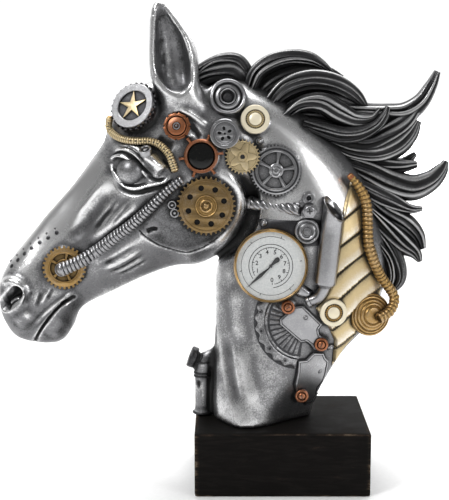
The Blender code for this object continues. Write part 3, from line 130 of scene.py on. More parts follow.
# An ear from its root to its tip: height, left and right edge, half depth, then the edges and the depth
# of its hollow.
EAR_SECTIONS = [
    (246, -88, -66, 3, -80, -79, 0),
    (254, -95, -61, 9, -82, -81, 0),
    (262, -100, -61, 12.5, -84, -83, 0),
    (272, -102, -65, 13, -86, -83, 1),
    (279, -105, -67, 13, -96, -75, 9),
    (290, -107.5, -68, 13, -103, -73, 15),
    (305, -108, -70, 12.5, -104.5, -75, 16),
    (318, -107.5, -75, 11, -104, -79.5, 13),
    (330, -107, -83, 8.5, -103, -87, 9),
    (341, -105, -92, 5.5, -101, -95, 4),
    (345.6, -102.5, -97, 3, -100, -99, 0),
]
EAR_DEPTH_CENTRE = 24.0
EAR_LEAN = 3.0

# Locks of the mane: offset from the middle plane towards the near side, thickness, and the route as
# (x, z, half width).
MANE_LOCKS = {
    "crown": {
        "crown_arch": (0, 9, [(-74, 285, 5), (-63, 294, 5.5), (-51, 299, 6), (-38, 299, 5.5), (-30, 292, 4.5),
                              (-25, 280, 4)]),
        "second_hump": (2, 12, [(-27, 272, 5), (-21, 288, 7), (-9, 297, 8), (6, 301, 7.5), (20, 300, 6.5),
                                (30, 296, 4.5), (41, 288, 2)]),
        "third_hump": (6, 15, [(-12, 264, 5), (2, 277, 8), (22, 283, 9), (43, 280, 8), (59, 271, 6),
                               (70, 258, 2.5)]),
        "fore_wave": (16, 8, [(0, 254, 4), (14, 264, 6), (30, 265, 8), (45, 257, 8.5), (59, 251, 7),
                              (73, 252, 5), (80, 260, 2.2)]),
        "under_wave": (17, 8, [(16, 248, 4), (32, 243, 6), (48, 239, 7), (63, 240, 6.5), (76, 246, 5),
                               (83, 254, 4), (86, 262, 2)]),
    },
    "crest": {
        "upper_curl": (0, 13, [(40, 258, 8), (68, 256, 9), (85, 255, 9.5), (101, 256, 9), (114, 265, 7),
                               (122, 278, 5.2), (127, 290, 2.6)]),
        "curl_root": (6, 10, [(40, 240, 7), (66, 234, 8), (84, 240, 9), (100, 249, 8), (111, 262, 5)]),
        "lower_bulge": (3, 12, [(40, 233, 6), (58, 225, 7), (78, 223, 8.5), (95, 229, 8.5), (106, 239, 6.5),
                                (112, 250, 3)]),
        "lower_curl": (2, 12, [(52, 216, 6), (71, 209, 9), (90, 200, 10.5), (108, 195, 10.5), (123, 200, 8.6),
                               (132, 209, 6.2), (136, 217, 2.4)]),
    },
    "fan": {
        "side_tip": (4, 10, [(60, 200, 5), (78, 189, 7.5), (95, 181, 7), (107, 177, 4.6), (117, 177, 2)]),
        "back_fan_a": (0, 11, [(65, 191, 5), (84, 176, 9), (102, 166, 9), (113, 155, 6.5), (118, 143, 3)]),
        "back_fan_b": (7, 9, [(70, 178, 5), (86, 162, 8), (100, 149, 8.5), (111, 141, 5.6), (116, 133, 2)]),
        "back_fan_c": (2, 11, [(74, 166, 6), (87, 148, 8), (95, 132, 8.5), (98, 118, 6.5), (92, 106, 2.4)]),
        "back_fan_d": (9, 7, [(78, 152, 4), (86, 137, 6), (90, 122, 5.5), (90, 110, 2)]),
    },
    "filling": {
        "under_arch": (-1, 8, [(-77, 278, 5), (-66, 285, 8), (-54, 289, 10), (-41, 290, 11), (-30, 282, 9)]),
        "under_hump": (-1, 9, [(-24, 262, 4), (-15, 273, 8), (-1, 282, 9), (16, 287, 9), (35, 288, 7),
                               (49, 284, 3)]),
        "behind_hump": (3, 9, [(-8, 254, 5), (8, 262, 8), (28, 268, 8), (50, 264, 8), (68, 258, 4)]),
        "behind_wave": (2, 9, [(8, 252, 7), (28, 248, 12), (50, 243, 12), (72, 241, 7), (88, 246, 3)]),
        "behind_bulge": (1, 9, [(40, 226, 6), (60, 217, 8), (80, 213, 8), (98, 212, 6), (112, 214, 3)]),
    },
    "far": {
        "far_wave": (-16, 8, [(4, 256, 4), (20, 264, 7), (40, 259, 8), (60, 250, 7), (78, 250, 4.5),
                              (88, 260, 2)]),
        "far_sweep": (-15, 8, [(30, 240, 5), (52, 226, 8), (76, 214, 8), (98, 212, 6), (112, 222, 2.4)]),
        "far_fan": (-12, 9, [(62, 196, 6), (80, 172, 9), (94, 148, 8.5), (98, 124, 5), (92, 108, 2.2)]),
    },
}

# Broad carving of the sides: height, reach and route (x, z). A plus raises, a minus sinks.
BROAD_CARVING = [
    (-2.4, 11, [(-131, 214), (-112, 209)], 0),
    (4.2, 7, [(-139, 226), (-124, 230), (-110, 225), (-95, 211)]),
    (4.6, 9, [(-113, 224), (-104, 219), (-96, 210)], 0.2),
    (-3.0, 10, [(-104, 238), (-88, 228)]),
    (3.0, 9, [(-114, 189), (-136, 170), (-160, 150)]),
    (-2.6, 8, [(-137, 202), (-150, 184), (-164, 166), (-176, 150)]),
    (-2.2, 9, [(-108, 172), (-132, 152), (-154, 134)]),
    (-5.6, 6.5, [(-44, 214), (-29, 200), (-24, 180), (-30, 160), (-44, 143), (-58, 136)]),
    (3.0, 8, [(-56, 212), (-41, 203), (-35, 184), (-40, 164), (-54, 149), (-74, 143)]),
    (3.6, 6, [(-233, 113), (-224, 119), (-214, 115), (-213, 106), (-220, 97), (-229, 92)], 0.15),
    (2.6, 12, [(-188, 78)]),
    (2.5, 9, [(-222, 82), (-206, 95)]),
    (1.5, 9, [(-38, 120), (-37, 92), (-33, 64)]),
    (-1.9, 6, [(-47, 76), (-44, 50), (-37, 16)]),
    (1.2, 9, [(-34, 72), (-29, 42), (-22, 14)]),
]

# Fine carving: height, reach, route, and the share of its length over which an end fades.
FINE_CARVING = [
    # lower lid and its crease, the corner of the eye, the upper lid and the folds over it
    (2.0, 2.5, [(-140.5, 217.5), (-136, 208), (-128, 199.6), (-119.5, 197.4), (-108, 200.2), (-96, 203.4),
                (-90, 209)], 0.12),
    (-1.2, 1.5, [(-139, 212), (-132.4, 203), (-121, 200), (-110, 202.4)], 0.2),
    (-1.5, 3.6, [(-138, 205), (-130, 196.5), (-120, 193.6), (-107, 196.6), (-94, 201)], 0.3),
    (2.2, 2.3, [(-140.5, 218.5), (-134.5, 223.5), (-127, 222.6), (-119, 217), (-112, 210.5), (-107, 206)],
     0.12),
    (-1.5, 1.5, [(-139, 221.6), (-133, 226), (-126, 225.2), (-117, 219), (-110, 212), (-104, 207)], 0.15),
    (1.0, 1.5, [(-137, 226.5), (-130, 229.3), (-122, 227), (-114.5, 220.5), (-108.5, 213)], 0.2),
    (-1.2, 1.2, [(-133, 230.6), (-125, 230.4), (-117, 225.6), (-111.5, 219)], 0.25),
    (-1.0, 1.0, [(-128, 233), (-119, 229.4), (-113, 223)], 0.3),
    (-1.5, 2.2, [(-114, 214), (-108, 207.6), (-101, 204.6), (-92, 206.5)], 0.25),
    (-1.4, 2.4, [(-89, 209), (-90, 216), (-97, 223)], 0.3),
    # nostril with its rim and its inner flap, and the lips
    (-8.5, 6.5, [(-219, 110), (-226.5, 103.5), (-229, 99)], 0),
    (2.6, 1.6, [(-218, 107), (-223, 104), (-228, 99.5)], 0.2),
    (-1.4, 2.6, [(-213.5, 116), (-210, 108), (-214, 98.5)], 0.3),
    (-3.0, 1.6, [(-209.5, 60), (-203.5, 72), (-197, 82.5), (-190, 91.5), (-183, 98.6), (-174.5, 103.8)],
     0.06),
    (-2.2, 2.8, [(-181, 100.8), (-173, 104.6)], 0),
    (1.2, 3.0, [(-207, 80), (-196, 92), (-186, 101), (-175, 108), (-170.5, 104)], 0.2),
    (-0.9, 2.6, [(-203, 98), (-198, 112)]),
    (-0.9, 2.2, [(-210.5, 100), (-206, 113)]),
    (-0.8, 2.2, [(-194, 104), (-188, 115)]),
    (0.8, 2.4, [(-198.5, 100), (-193.5, 112)]),
    # soft folds of the cheek and under the eye
    (-0.9, 3.0, [(-152, 131), (-136, 139), (-118, 151)]),
    (0.7, 2.4, [(-149, 127.5), (-132, 135.5), (-114, 147)]),
    (-0.7, 2.0, [(-146, 124.5), (-130, 131.5), (-112, 143)]),
    (-0.6, 1.6, [(-138, 122.5), (-124, 129), (-110, 138)]),
    (-1.0, 3.2, [(-156, 160), (-146, 172), (-135, 184)]),
    (1.0, 3.2, [(-170, 172), (-158, 187), (-146, 202)]),
    (0.8, 2.6, [(-150, 164), (-140, 177), (-130, 189)]),
    (-0.8, 2.4, [(-140, 166), (-131, 177), (-122, 187)]),
    # the slot in the cheek, the engraved line of the jaw, and the folds under the ear
    (-2.6, 2.2, [(-111, 161.4), (-106, 164.4), (-101.5, 164.2)], 0.2),
    (-0.95, 0.95, [(-118, 163.5), (-110, 156), (-99.7, 149.4), (-83.5, 144.1), (-75.4, 143.7), (-63.3, 148.6),
                   (-52, 157), (-45.5, 163.3)], 0.05),
    (-1.6, 2.4, [(-69.5, 31), (-69.5, 24)], 0.3),
    (1.8, 4.0, [(-84, 262), (-72, 256), (-60, 247)]),
    (-1.8, 3.4, [(-76, 250), (-70, 244), (-66, 237)]),
    (1.5, 3.0, [(-80, 244), (-73, 239), (-70, 232)]),
]
# Zones of the skin with finer faces: centre (x, z) and radius.
FINE_ZONES = [((-122, 211), 27), ((-222, 104), 21), ((-194, 94), 26), ((-85, 316), 36)]

EYE_CENTRE = (-122.0, 211.0)
EYE_DEPTH = 27.6
EYE_RADIUS = 12.5

BOTTLE_FOOT = (-66, 0)
# The bottle: profiles as (radius, height), and its shoulder as (x, z, radius).
BOTTLE_PROFILE = [(7.8, 0), (7.8, 3.2), (6.8, 4.6), (6.8, 33), (7.2, 34), (7.2, 36), (6.9, 37), (7.2, 38),
                  (7.4, 46), (5.5, 50)]
BOTTLE_CAP_ENDS = ((-58.9, 43.9), (-77.6, 51.0))
BOTTLE_CAP_PROFILE = [(5.2, 0), (5.2, 13), (8.6, 14.4), (8.8, 15.4), (8.8, 18.6), (8.2, 19.5), (6.8, 19.5),
                      (6.2, 18.6)]
BOTTLE_SHOULDER = [(-67, 44, 6), (-60, 49, 7.5), (-48, 53, 8)]

# Round nodes that rest on a boss of the casting, with the boss's share of their radius.
SEATED = {
    "star_gear": 0.8, "muzzle_gear": 0.9, "cheek_gear": 0.9, "spoked_gear": 0.9, "temple_gear": 0.55,
    "lens_ring": 0.72, "vent_disc": 0.7, "poll_washer": 0.9, "cap_nut": 0.9, "temple_washer": 0.9,
    "gauge_bezel": 0.9, "spring_disc": 0.9, "coil_disc": 0.9, "neck_washer": 0.9, "copper_bolt_1": 0.9,
    "copper_bolt_2": 0.9, "copper_bolt_3": 0.9,
}

BROW_HOSE_ROUTE = [(-140, 253), (-141, 246), (-136, 240), (-128, 237), (-117, 236), (-107, 236), (-99, 233),
                   (-92, 226), (-89, 219), (-87, 213.5)]
MUZZLE_HOSE_ROUTE = [(-180, 131), (-164, 138), (-150, 147), (-136, 158), (-122, 169), (-108, 182), (-95, 195),
                     (-82, 205.5)]
NECK_HOSE_ROUTE = [(54, 207), (60, 200), (66, 190), (68.5, 178), (69, 164), (70, 150), (75, 136), (81.5, 123)]
COIL_HOSE_ROUTE = [(18.5, 16.5, 6.5), (18.5, 9.5, 7.8), (12.5, 2.5, 10.6), (3, -1.5, 12.1)]
ROD_ENDS = ((-27, 184), (16, 180.8))
PIPE_FOOT = (33.5, 120)
PIPE_HEAD = (41, 188)
PIPE_MOUTH_FACING = (0.75, -0.5, 0.75)
ELBOW_ROUTE = [(29, 110, 3), (21, 105.5, 0.5)]
STEEL_PLATES = [
    [(7.7, 102), (16.1, 102.7), (21.4, 97.3), (32, 86.6), (28.8, 82.6), (29.5, 77.9), (36.8, 71.9),
     (35.5, 67.5), (25.7, 64.5), (23, 69.2), (19.1, 72.6), (14.5, 71.9), (-2, 86.6), (-2.6, 91.3),
     (1.9, 95.5)],
    [(12.5, 55.7), (19.7, 55.7), (25.6, 61.8), (33.6, 60.5), (35.4, 55.7), (38.4, 51.6), (36.6, 38.5),
     (34.6, 31.8), (30.4, 27), (29.0, 19.5), (26.0, 12.9), (20.5, 12.2), (11.4, 27.7), (10, 34), (12, 45)],
]
NECK_GUARD = [
    (55, 202), (50, 186), (47, 172), (42, 135), (38, 116), (30, 104), (27, 100), (38, 83), (43, 71), (43, 45),
    (53, 62), (63, 74), (80, 100), (84, 118), (79, 139), (71, 163), (63, 192),
]
BRAKE_CENTRE = (18, 89)
# The row of pits along the muzzle.
NOTCHES = [(-224.5, 130.0), (-219.0, 135.2), (-213.3, 140.5), (-207.2, 145.2), (-200.5, 149.9),
           (-193.4, 154.0), (-186.2, 158.2)]
# Painted highlight (+) and painted shade (-) bands on the sides: strength, reach and route in the side view.
PAINTED_LIGHT_BANDS = [
    (1.0, 15, [(-156, 208), (-173, 186), (-192, 162), (-211, 143)]),
    (0.8, 9, [(-140, 201), (-153, 186), (-169, 168)]),
    (-0.45, 6, [(-141, 210), (-157, 191), (-174, 168)]),
    (-0.5, 10, [(-149, 174), (-157, 161), (-162, 151)]),
    (-0.35, 14, [(-176, 96), (-174, 86), (-182, 78)]),
    (0.5, 9, [(-105, 221), (-97, 212)]),
    (0.7, 8, [(-46, 207), (-33, 195), (-32, 182)]),
]
SEAM_DIRECTION = (0.80, 0.60)
SEAM_PITCH = 17.0
# Middles of the ear's root and of the round cheek in the side view.
EAR_ROOT = (-80, 259)
CHEEK_CENTRE = (-82, 196)
ROD_TAB = (20, 190)
BACKING_PLATE = [(-20, 172), (11, 172), (20, 174), (30, 172), (30, 152), (10, 150), (-6, 160), (-17.5, 163)]
GAUGE_LUG = [(9.5, 112.5), (12, 109.4), (19.5, 107.6), (23.6, 110.2), (24.2, 114.6), (14.5, 121.5),
             (10.6, 120.6)]
# Rings of the brake disc: inner and outer radius, start and end in degrees, height, size of facets, finish.
# The two dark rings are painted shade: the inner shows as the slots between the raised bars, the outer lies
# under the sprocket's teeth.
BRAKE_RINGS = [
    (30.5, 32.6, 150, 262, 0.9, 1.1, "silver"),
    (13.0, 30.6, 148, 264, 0.35, 1.6, "dark_steel"),
    (32.2, 41.6, 149, 259, 0.30, 1.6, "dark_steel"),
]
# Beads round the bottle: radius, height and thickness.
BOTTLE_RINGS = [(0.0079, 0.0018, 0.0009), (0.0071, 0.0338, 0.0008), (0.0071, 0.0366, 0.0008),
                (0.0074, 0.0462, 0.0006)]
BOTTLE_CAP_TOP = [(0, 0.0132), (0.0082, 0.0136), (0.0090, 0.0146), (0.0090, 0.0186), (0.0083, 0.0195),
                  (0.0074, 0.0194), (0.0070, 0.0184), (0.0030, 0.0182), (0.0026, 0.0192), (0, 0.0194)]
# Screws and rings on the casting: x, z, radius, and how far they stand off it.
SCREWS = [(-19.3, 235.4, 0.0030, 0.0), (-15.0, 169.1, 0.0029, 0.001), (18.4, 92.6, 0.0019, 0.002),
          (31.0, 43.2, 0.0019, 0.002), (39.8, 64.7, 0.0028, 0.001)]
RINGS = [(-110.0, 227.4, 0.0050, 0.0012), (-89.4, 185.1, 0.0036, 0.0), (-87.4, 178.6, 0.0038, 0.0)]
SPROCKET_HOLES = [(-17.6, 96.6), (-17.0, 80.8), (-10.4, 66.6), (1.8, 56.6)]

# Profiles from the middle outwards or from the rim inwards, as shares of a radius and a height.
SCREW = [(0, -0.6), (1, -0.6), (1, 0.22), (0.78, 0.40), (0.70, 0.26), (0.60, 0.26), (0.46, 0.50), (0, 0.56)]
RING_EYE = [(0, -0.6), (1, -0.6), (1, 0.45), (0.80, 0.50), (0.66, 0.42), (0.60, 0.10), (0.38, 0.10),
            (0.32, 0.42), (0, 0.46)]
SPOKED_HUB = [(0, 0), (0.28, 0), (0.28, 0.95), (0.21, 1.15), (0.18, 0.95), (0.15, 0.95), (0.13, 1.35),
              (0.07, 1.35), (0.06, 1.1), (0, 1.1)]
POLL_WASHER = [(1, 0.2), (1, 0.62), (0.95, 0.92), (0.88, 1), (0.81, 0.92), (0.77, 0.52), (0.72, 0.48),
               (0.69, 0.62), (0.58, 0.80), (0.50, 0.82), (0.475, 0.66), (0.455, 0.66), (0.43, 0.96),
               (0.38, 0.96), (0.35, 0.5), (0.31, 0.30), (0.20, 0.38), (0, 0.42)]
POLL_MIDDLE = [(0, 0.2), (0.325, 0.2), (0.30, 0.42), (0.18, 0.50), (0, 0.54)]
SPRING_DISC = [(1, 0.55), (0.94, 0.78), (0.82, 0.78), (0.78, 0.58), (0.70, 0.58), (0.65, 0.92), (0.50, 0.98),
               (0.46, 0.72), (0.34, 0.72), (0.30, 0.98), (0, 1.0)]
COPPER_BOLT = [(1, 0.42), (0.93, 0.60), (0.66, 0.66), (0.62, 0.52), (0.56, 0.52), (0.50, 0.86),
               (0.28, 0.98), (0, 1)]
GAUGE_RIM = [(1, 0.3), (0.997, 0.62), (0.985, 0.80), (0.972, 0.93), (0.955, 1), (0.938, 0.97), (0.930, 0.86),
             (0.926, 0.62)]
COIL_DISC = [(1, 0.10), (0.985, 0.32), (0.93, 0.38), (0.91, 0.30), (0.885, 0.30), (0.87, 0.44),
             (0.80, 0.50), (0.77, 0.42), (0.745, 0.42), (0.72, 0.58), (0.66, 0.66), (0.62, 0.60),
             (0.595, 0.60), (0.57, 0.76), (0.50, 0.82), (0.45, 0.72), (0.42, 0.72), (0.38, 0.90),
             (0.30, 0.97), (0, 1)]
NEEDLE = [(-0.635, -0.585), (-0.30, -0.215), (0.02, 0.005), (0.10, 0.06), (0.205, 0.115), (0.235, 0.165),
          (0.225, 0.215), (0.18, 0.235), (0.125, 0.21), (0.06, 0.115), (0.0, 0.03), (-0.23, -0.285)]
# Hub of the cheek gear: share of the radius, and millimetres over the plate.
CHEEK_HUB = [(0.37, 1.1), (0.335, 1.3), (0.32, 0.4), (0.235, 0.5), (0.22, 1.9), (0.17, 2.1), (0.155, 0.9),
             (0.10, 1.0), (0.085, 2.4), (0.04, 2.7), (0, 2.4)]
# Lamps: name, place, aim, size, watts and spread in degrees.
LAMPS = [
    ("key", (-1.3, -1.2, 1.9), (-0.04, 0, 0.2), 0.8, 30.0, 180),
    ("side", (1.5, -1.3, 0.9), (0.0, 0, 0.2), 0.5, 10.0, 180),
    ("rim", (0.8, 1.5, 1.2), (0.0, 0, 0.25), 0.8, 4.0, 180),
    ("top", (0.0, 0.9, 2.6), (0.0, 0.9, 0.0), 2.4, 70.0, 180),
    ("background", (0.0, 3.4, 2.6), (0.0, 3.8, 0.0), 3.0, 320.0, 70),
]


def at(x, z, y=0.0):
    """A point of the figure in metres, from figure units above the plinth's top."""
    return Vector((x * UNIT, y * UNIT, PLINTH_TOP + SEAM + z * UNIT))


def spline(values, steps):
    """Smooth curve through rows of numbers, with `steps` spans between neighbours."""
    rows = np.array(values, float)
    ends = np.vstack([2 * rows[0] - rows[1], rows, 2 * rows[-1] - rows[-2]])
    out = []
    for i in range(len(rows) - 1):
        a, b, c, d = ends[i : i + 4]
        for t in np.arange(steps) / steps:
            cubic = (3 * b - a - 3 * c + d) * t**3
            out.append(0.5 * (2 * b + (c - a) * t + (2 * a - 5 * b + 4 * c - d) * t**2 + cubic))
    out.append(rows[-1])
    return np.array(out)


def frame_towards(place, direction, up=(0, 0, 1)):
    """A frame whose Z runs along direction and whose Y leans towards up."""
    z = Vector(direction).normalized()
    x = Vector(up).cross(z).normalized()
    made = Matrix((x, z.cross(x), z)).transposed().to_4x4()
    made.translation = Vector(place)
    return made


def shown(name, data):
    """An object of the scene for a mesh, a curve, a lamp or a camera."""
    obj = bpy.data.objects.new(name, data)
    bpy.context.scene.collection.objects.link(obj)
    return obj


def plain_mesh(obj):
    """The mesh of an object with its modifiers applied; the object itself goes."""
    bpy.context.view_layer.update()
    graph = bpy.context.evaluated_depsgraph_get()
    mesh = bpy.data.meshes.new_from_object(obj.evaluated_get(graph))
    bpy.data.objects.remove(obj)
    return mesh


def reworked(mesh, step):
    """The mesh after a step on its edit form."""
    work = bmesh.new()
    work.from_mesh(mesh)
    step(work)
    work.to_mesh(mesh)
    work.free()
    return mesh


def facing_out(work):
    bmesh.ops.recalc_face_normals(work, faces=work.faces)


def mesh_of(name, shell):
    points, faces = shell
    mesh = bpy.data.meshes.new(name)
    mesh.from_pydata([tuple(p) for p in points], [], faces)
    return mesh


def shell_of(mesh):
    """Points and faces of a mesh, which itself goes."""
    shell = [v.co.copy() for v in mesh.vertices], [tuple(p.vertices) for p in mesh.polygons]
    bpy.data.meshes.remove(mesh)
    return shell


class Solid:
    """Gathers the closed shells of one piece, each with its finish and its relief, from -1 to 1."""

    def __init__(self):
        self.points, self.faces, self.finish, self.relief = [], [], [], []

    def add(self, shell, finish, where=None, relief=None):
        """Adds the points and faces of a shell, moved by a frame if one is given."""
        points, faces = shell
        start = len(self.points)
        if where is not None:
            points = [where @ Vector(p) for p in points]
        self.points += [tuple(p) for p in points]
        self.faces += [tuple(start + i for i in face) for face in faces]
        self.finish += [finish] * len(faces)
        self.relief += list(relief) if relief is not None else [0.0] * len(points)

    def piece(self, name, node=None, slot=None, smooth=35):
        """The finished piece: it rides on the body, and stands for its node if it has one."""
        mesh = mesh_of(name, (self.points, self.faces))
        order = list(dict.fromkeys(self.finish))
        for finish in order:
            mesh.materials.append(coat(finish))
        mesh.polygons.foreach_set("material_index", [order.index(f) for f in self.finish])
        mesh.attributes.new("relief", "FLOAT", "POINT").data.foreach_set("value", self.relief)
        reworked(mesh, facing_out)
        mesh.shade_smooth()
        mesh.set_sharp_from_angle(angle=math.radians(smooth))
        placed(name, mesh, node)


def placed(name, mesh, node):
    """An object for a finished mesh, riding on the sculpture's one body."""
    piece = shown(name, mesh)
    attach(piece, "root")
    if node:
        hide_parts(node)


def ring_faces(rings, count, closed=False):
    """Quads between neighbouring rings of `count` points, and from the last to the first if closed."""
    faces = []
    for i in range(rings if closed else rings - 1):
        j = (i + 1) % rings
        for k in range(count):
            n = (k + 1) % count
            faces.append((i * count + k, i * count + n, j * count + n, j * count + k))
    return faces


def skin(rings):
    """Points and faces of a closed shell through rings of equally many points."""
    count = len(rings[0])
    points = [tuple(p) for ring in rings for p in ring]
    faces = ring_faces(len(rings), count)
    first, last = len(points), len(points) + 1
    points += [tuple(np.mean(rings[0], axis=0)), tuple(np.mean(rings[-1], axis=0))]
    base = (len(rings) - 1) * count
    for k in range(count):
        n = (k + 1) % count
        faces.append((first, n, k))
        faces.append((last, base + k, base + n))
    return points, faces


def turns(count):
    """Even angles round a circle."""
    return [2 * math.pi * k / count for k in range(count)]


def polar(radius, turn, *height):
    return (radius * math.cos(turn), radius * math.sin(turn), *height)


def turned(profile, segments):
    """Points and faces of a solid turned about Z from (radius, height) points, axis to axis."""
    points, rings = [], []
    for radius, height in profile:
        count = segments if radius > 0 else 1
        rings.append(list(range(len(points), len(points) + count)))
        points += [polar(radius, turn, height) for turn in turns(count)]
    faces = []
    for a, b in zip(rings, rings[1:]):
        for k in range(segments):
            n = (k + 1) % segments
            face = [a[k % len(a)], a[n % len(a)], b[n % len(b)], b[k % len(b)]]
            faces.append(tuple(dict.fromkeys(face)))
    return points, [f for f in faces if len(f) > 2]


def turned_ring(profile, segments):
    """Points and faces of a ring turned about Z from a closed loop of (radius, height) points."""
    points = [polar(radius, turn, height) for radius, height in profile for turn in turns(segments)]
    return points, ring_faces(len(profile), segments, closed=True)


def drum(radius, low, high):
    return [(0, low), (radius, low), (radius, high), (0, high)]


def rounded(profile, amount):
    """The profile with each inner corner replaced by two points this far from it."""
    out = [profile[0]]
    for before, corner, after in zip(profile, profile[1:], profile[2:]):
        for other in (before, after):
            way = np.subtract(other, corner)
            length = max(np.linalg.norm(way), 1e-9)
            out.append(tuple(np.add(corner, way * min(amount / length, 0.45))))
    out.append(profile[-1])
    return out


def bead_ring(radius, height, thick, segments=64, sides=8):
    """Points and faces of a round wire ring."""
    loop = [(radius + x, height + z) for x, z in circle(thick, sides)]
    return turned_ring(loop, segments)


def tube(route, radii, sides, spans=1):
    """Points and faces of a round bar along a smooth curve, with a radius at each point of the route."""
    rows = spline([(*point, radius) for point, radius in zip(route, radii)], spans)
    rings = []
    for i, row in enumerate(rows):
        ahead = Vector(rows[min(i + 1, len(rows) - 1)][:3] - rows[max(i - 1, 0)][:3])
        where = frame_towards(row[:3], ahead, up=(0, -1, 0))
        rings.append([tuple(where @ Vector(polar(row[3], turn, 0))) for turn in turns(sides)])
    return skin(rings)


def circle(radius, segments, centre=(0, 0)):
    return [(centre[0] + x, centre[1] + y) for x, y in (polar(radius, turn) for turn in turns(segments))]


def arc(radius, start, end, steps=12):
    return [polar(radius, math.radians(start + (end - start) * k / steps)) for k in range(steps + 1)]


def band(inner, outer, start, end, steps=12):
    """Outline of a stretch of a flat ring between two angles in degrees."""
    return arc(outer, start, end, steps) + arc(inner, start, end, steps)[::-1]


def of_size(r, h, shares):
    """A profile of a round piece from shares of its radius and its thickness."""
    return [(r * a, h * b) for a, b in shares]


def oblong(width, height):
    """The corners of a flat bar, middle on the origin."""
    return [(-width / 2, -height / 2), (width / 2, -height / 2), (width / 2, height / 2),
            (-width / 2, height / 2)]


def plate(outlines, thickness, bevel=0.0002):
    """A flat plate cut to its outlines, holes included, with softened edges, standing on Z = 0."""
    curve = bpy.data.curves.new("outline", "CURVE")
    curve.dimensions = "2D"
    curve.fill_mode = "BOTH"
    curve.extrude = thickness / 2 - bevel
    curve.bevel_depth = bevel
    curve.bevel_resolution = 1
    curve.offset = -bevel
    for outline in outlines:
        line = curve.splines.new("POLY")
        line.points.add(len(outline) - 1)
        for point, (x, y) in zip(line.points, outline):
            point.co = (x, y, 0, 1)
        line.use_cyclic_u = True

    def closed(work):
        bmesh.ops.remove_doubles(work, verts=work.verts, dist=MERGE)
        bmesh.ops.translate(work, vec=(0, 0, thickness / 2), verts=work.verts)

    return shell_of(reworked(plain_mesh(shown("outline", curve)), closed))


def measured(node):
    """Where a round node stands: a frame on the middle of its back facing outwards, radius, thickness."""
    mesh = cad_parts[node].data
    mesh.calc_loop_triangles()
    place = np.array([v.co[:] for v in mesh.vertices], float)
    tri = np.array([t.vertices[:] for t in mesh.loop_triangles])
    a, b, c = place[tri[:, 0]], place[tri[:, 1]], place[tri[:, 2]]
    area = np.linalg.norm(np.cross(b - a, c - a), axis=1) / 2
    middle = (a + b + c) / 3
    centre = (middle * area[:, None]).sum(axis=0) / area.sum()
    spread = ((middle - centre) * area[:, None]).T @ (middle - centre)
    normal = np.linalg.eigh(spread)[1][:, 0]
    if normal[1] > 0:
        normal = -normal
    height = (place - centre) @ normal
    off = place - centre - np.outer(height, normal)
    radius = np.linalg.norm(off, axis=1).max()
    back = frame_towards(centre + normal * height.min(), normal)
    return back, radius, height.max() - height.min()


def raised(where, height):
    return where @ Matrix.Translation((0, 0, height))


# Node trees for what repeats.


def wired(tree, kind, inputs=(), **settings):
    """A node with its settings, each input set to a value or fed by another node's socket."""
    node = tree.nodes.new(kind)
    for name, value in settings.items():
        setattr(node, name, value)
    for key, value in dict(inputs).items():
        if isinstance(value, bpy.types.NodeSocket):
            tree.links.new(value, node.inputs[key])
        else:
            node.inputs[key].default_value = value
    return node


def math_of(tree, operation, *values, clamp=False):
    return wired(tree, "ShaderNodeMath", enumerate(values), operation=operation, use_clamp=clamp).outputs[0]


def new_tree(name, inputs):
    """A geometry tree, the identifiers of its named inputs, and their sockets inside the tree."""
    tree = bpy.data.node_groups.new(name, "GeometryNodeTree")
    sockets = {}
    for label, kind in inputs.items():
        made = tree.interface.new_socket(label, in_out="INPUT", socket_type="NodeSocket" + kind)
        sockets[label] = made.identifier
    tree.interface.new_socket("Geometry", in_out="OUTPUT", socket_type="NodeSocketGeometry")
    return tree, sockets, tree.nodes.new("NodeGroupInput").outputs


def end_tree(tree, given, points, rotation, scale=None):
    """Puts the item on the points, realises the copies and gives them their finish."""
    item = wired(tree, "GeometryNodeObjectInfo", {"Object": given["Item"]})
    spots = {"Points": points, "Rotation": rotation, "Instance": item.outputs["Geometry"]}
    if scale:
        spots["Scale"] = scale
    copies = wired(tree, "GeometryNodeInstanceOnPoints", spots)
    real = wired(tree, "GeometryNodeRealizeInstances", {"Geometry": copies.outputs["Instances"]})
    finish = {"Geometry": real.outputs["Geometry"], "Material": given["Finish"]}
    coated = wired(tree, "GeometryNodeSetMaterial", finish)
    wired(tree, "NodeGroupOutput", {"Geometry": coated.outputs["Geometry"]})


def ring_tree():
    """Copies of one item round a circle, each turned to face outwards."""
    tree, sockets, given = new_tree("copies_round_a_ring", {
        "Geometry": "Geometry", "Item": "Object", "Count": "Int", "Radius": "Float", "Start Angle": "Float",
        "Sweep": "Float", "Finish": "Material",
    })
    line = wired(tree, "GeometryNodeMeshLine", {"Count": given["Count"], "Offset": (0, 0, 0)})
    share = math_of(tree, "DIVIDE", wired(tree, "GeometryNodeInputIndex").outputs[0], given["Count"])
    angle = math_of(tree, "MULTIPLY_ADD", share, given["Sweep"], given["Start Angle"])
    x, y = (math_of(tree, "MULTIPLY", math_of(tree, wave, angle), given["Radius"])
            for wave in ("COSINE", "SINE"))
    spot = wired(tree, "ShaderNodeCombineXYZ", {"X": x, "Y": y})
    move = wired(tree, "GeometryNodeSetPosition", {"Geometry": line.outputs["Mesh"],
                                                   "Position": spot.outputs[0]})
    turn = wired(tree, "ShaderNodeCombineXYZ", {"Z": angle})
    end_tree(tree, given, move.outputs["Geometry"], turn.outputs[0])
    return tree, sockets


def path_tree():
    """Copies of one item along a path, each with its Z along the path and sized by the path's radius."""
    tree, sockets, given = new_tree("copies_along_a_path", {
        "Geometry": "Geometry", "Item": "Object", "Count": "Int", "Finish": "Material",
    })
    path = {"Curve": given["Geometry"], "Count": given["Count"]}
    points = wired(tree, "GeometryNodeCurveToPoints", path, mode="COUNT").outputs
    end_tree(tree, given, points["Points"], points["Rotation"],
             wired(tree, "GeometryNodeInputRadius").outputs[0])
    return tree, sockets


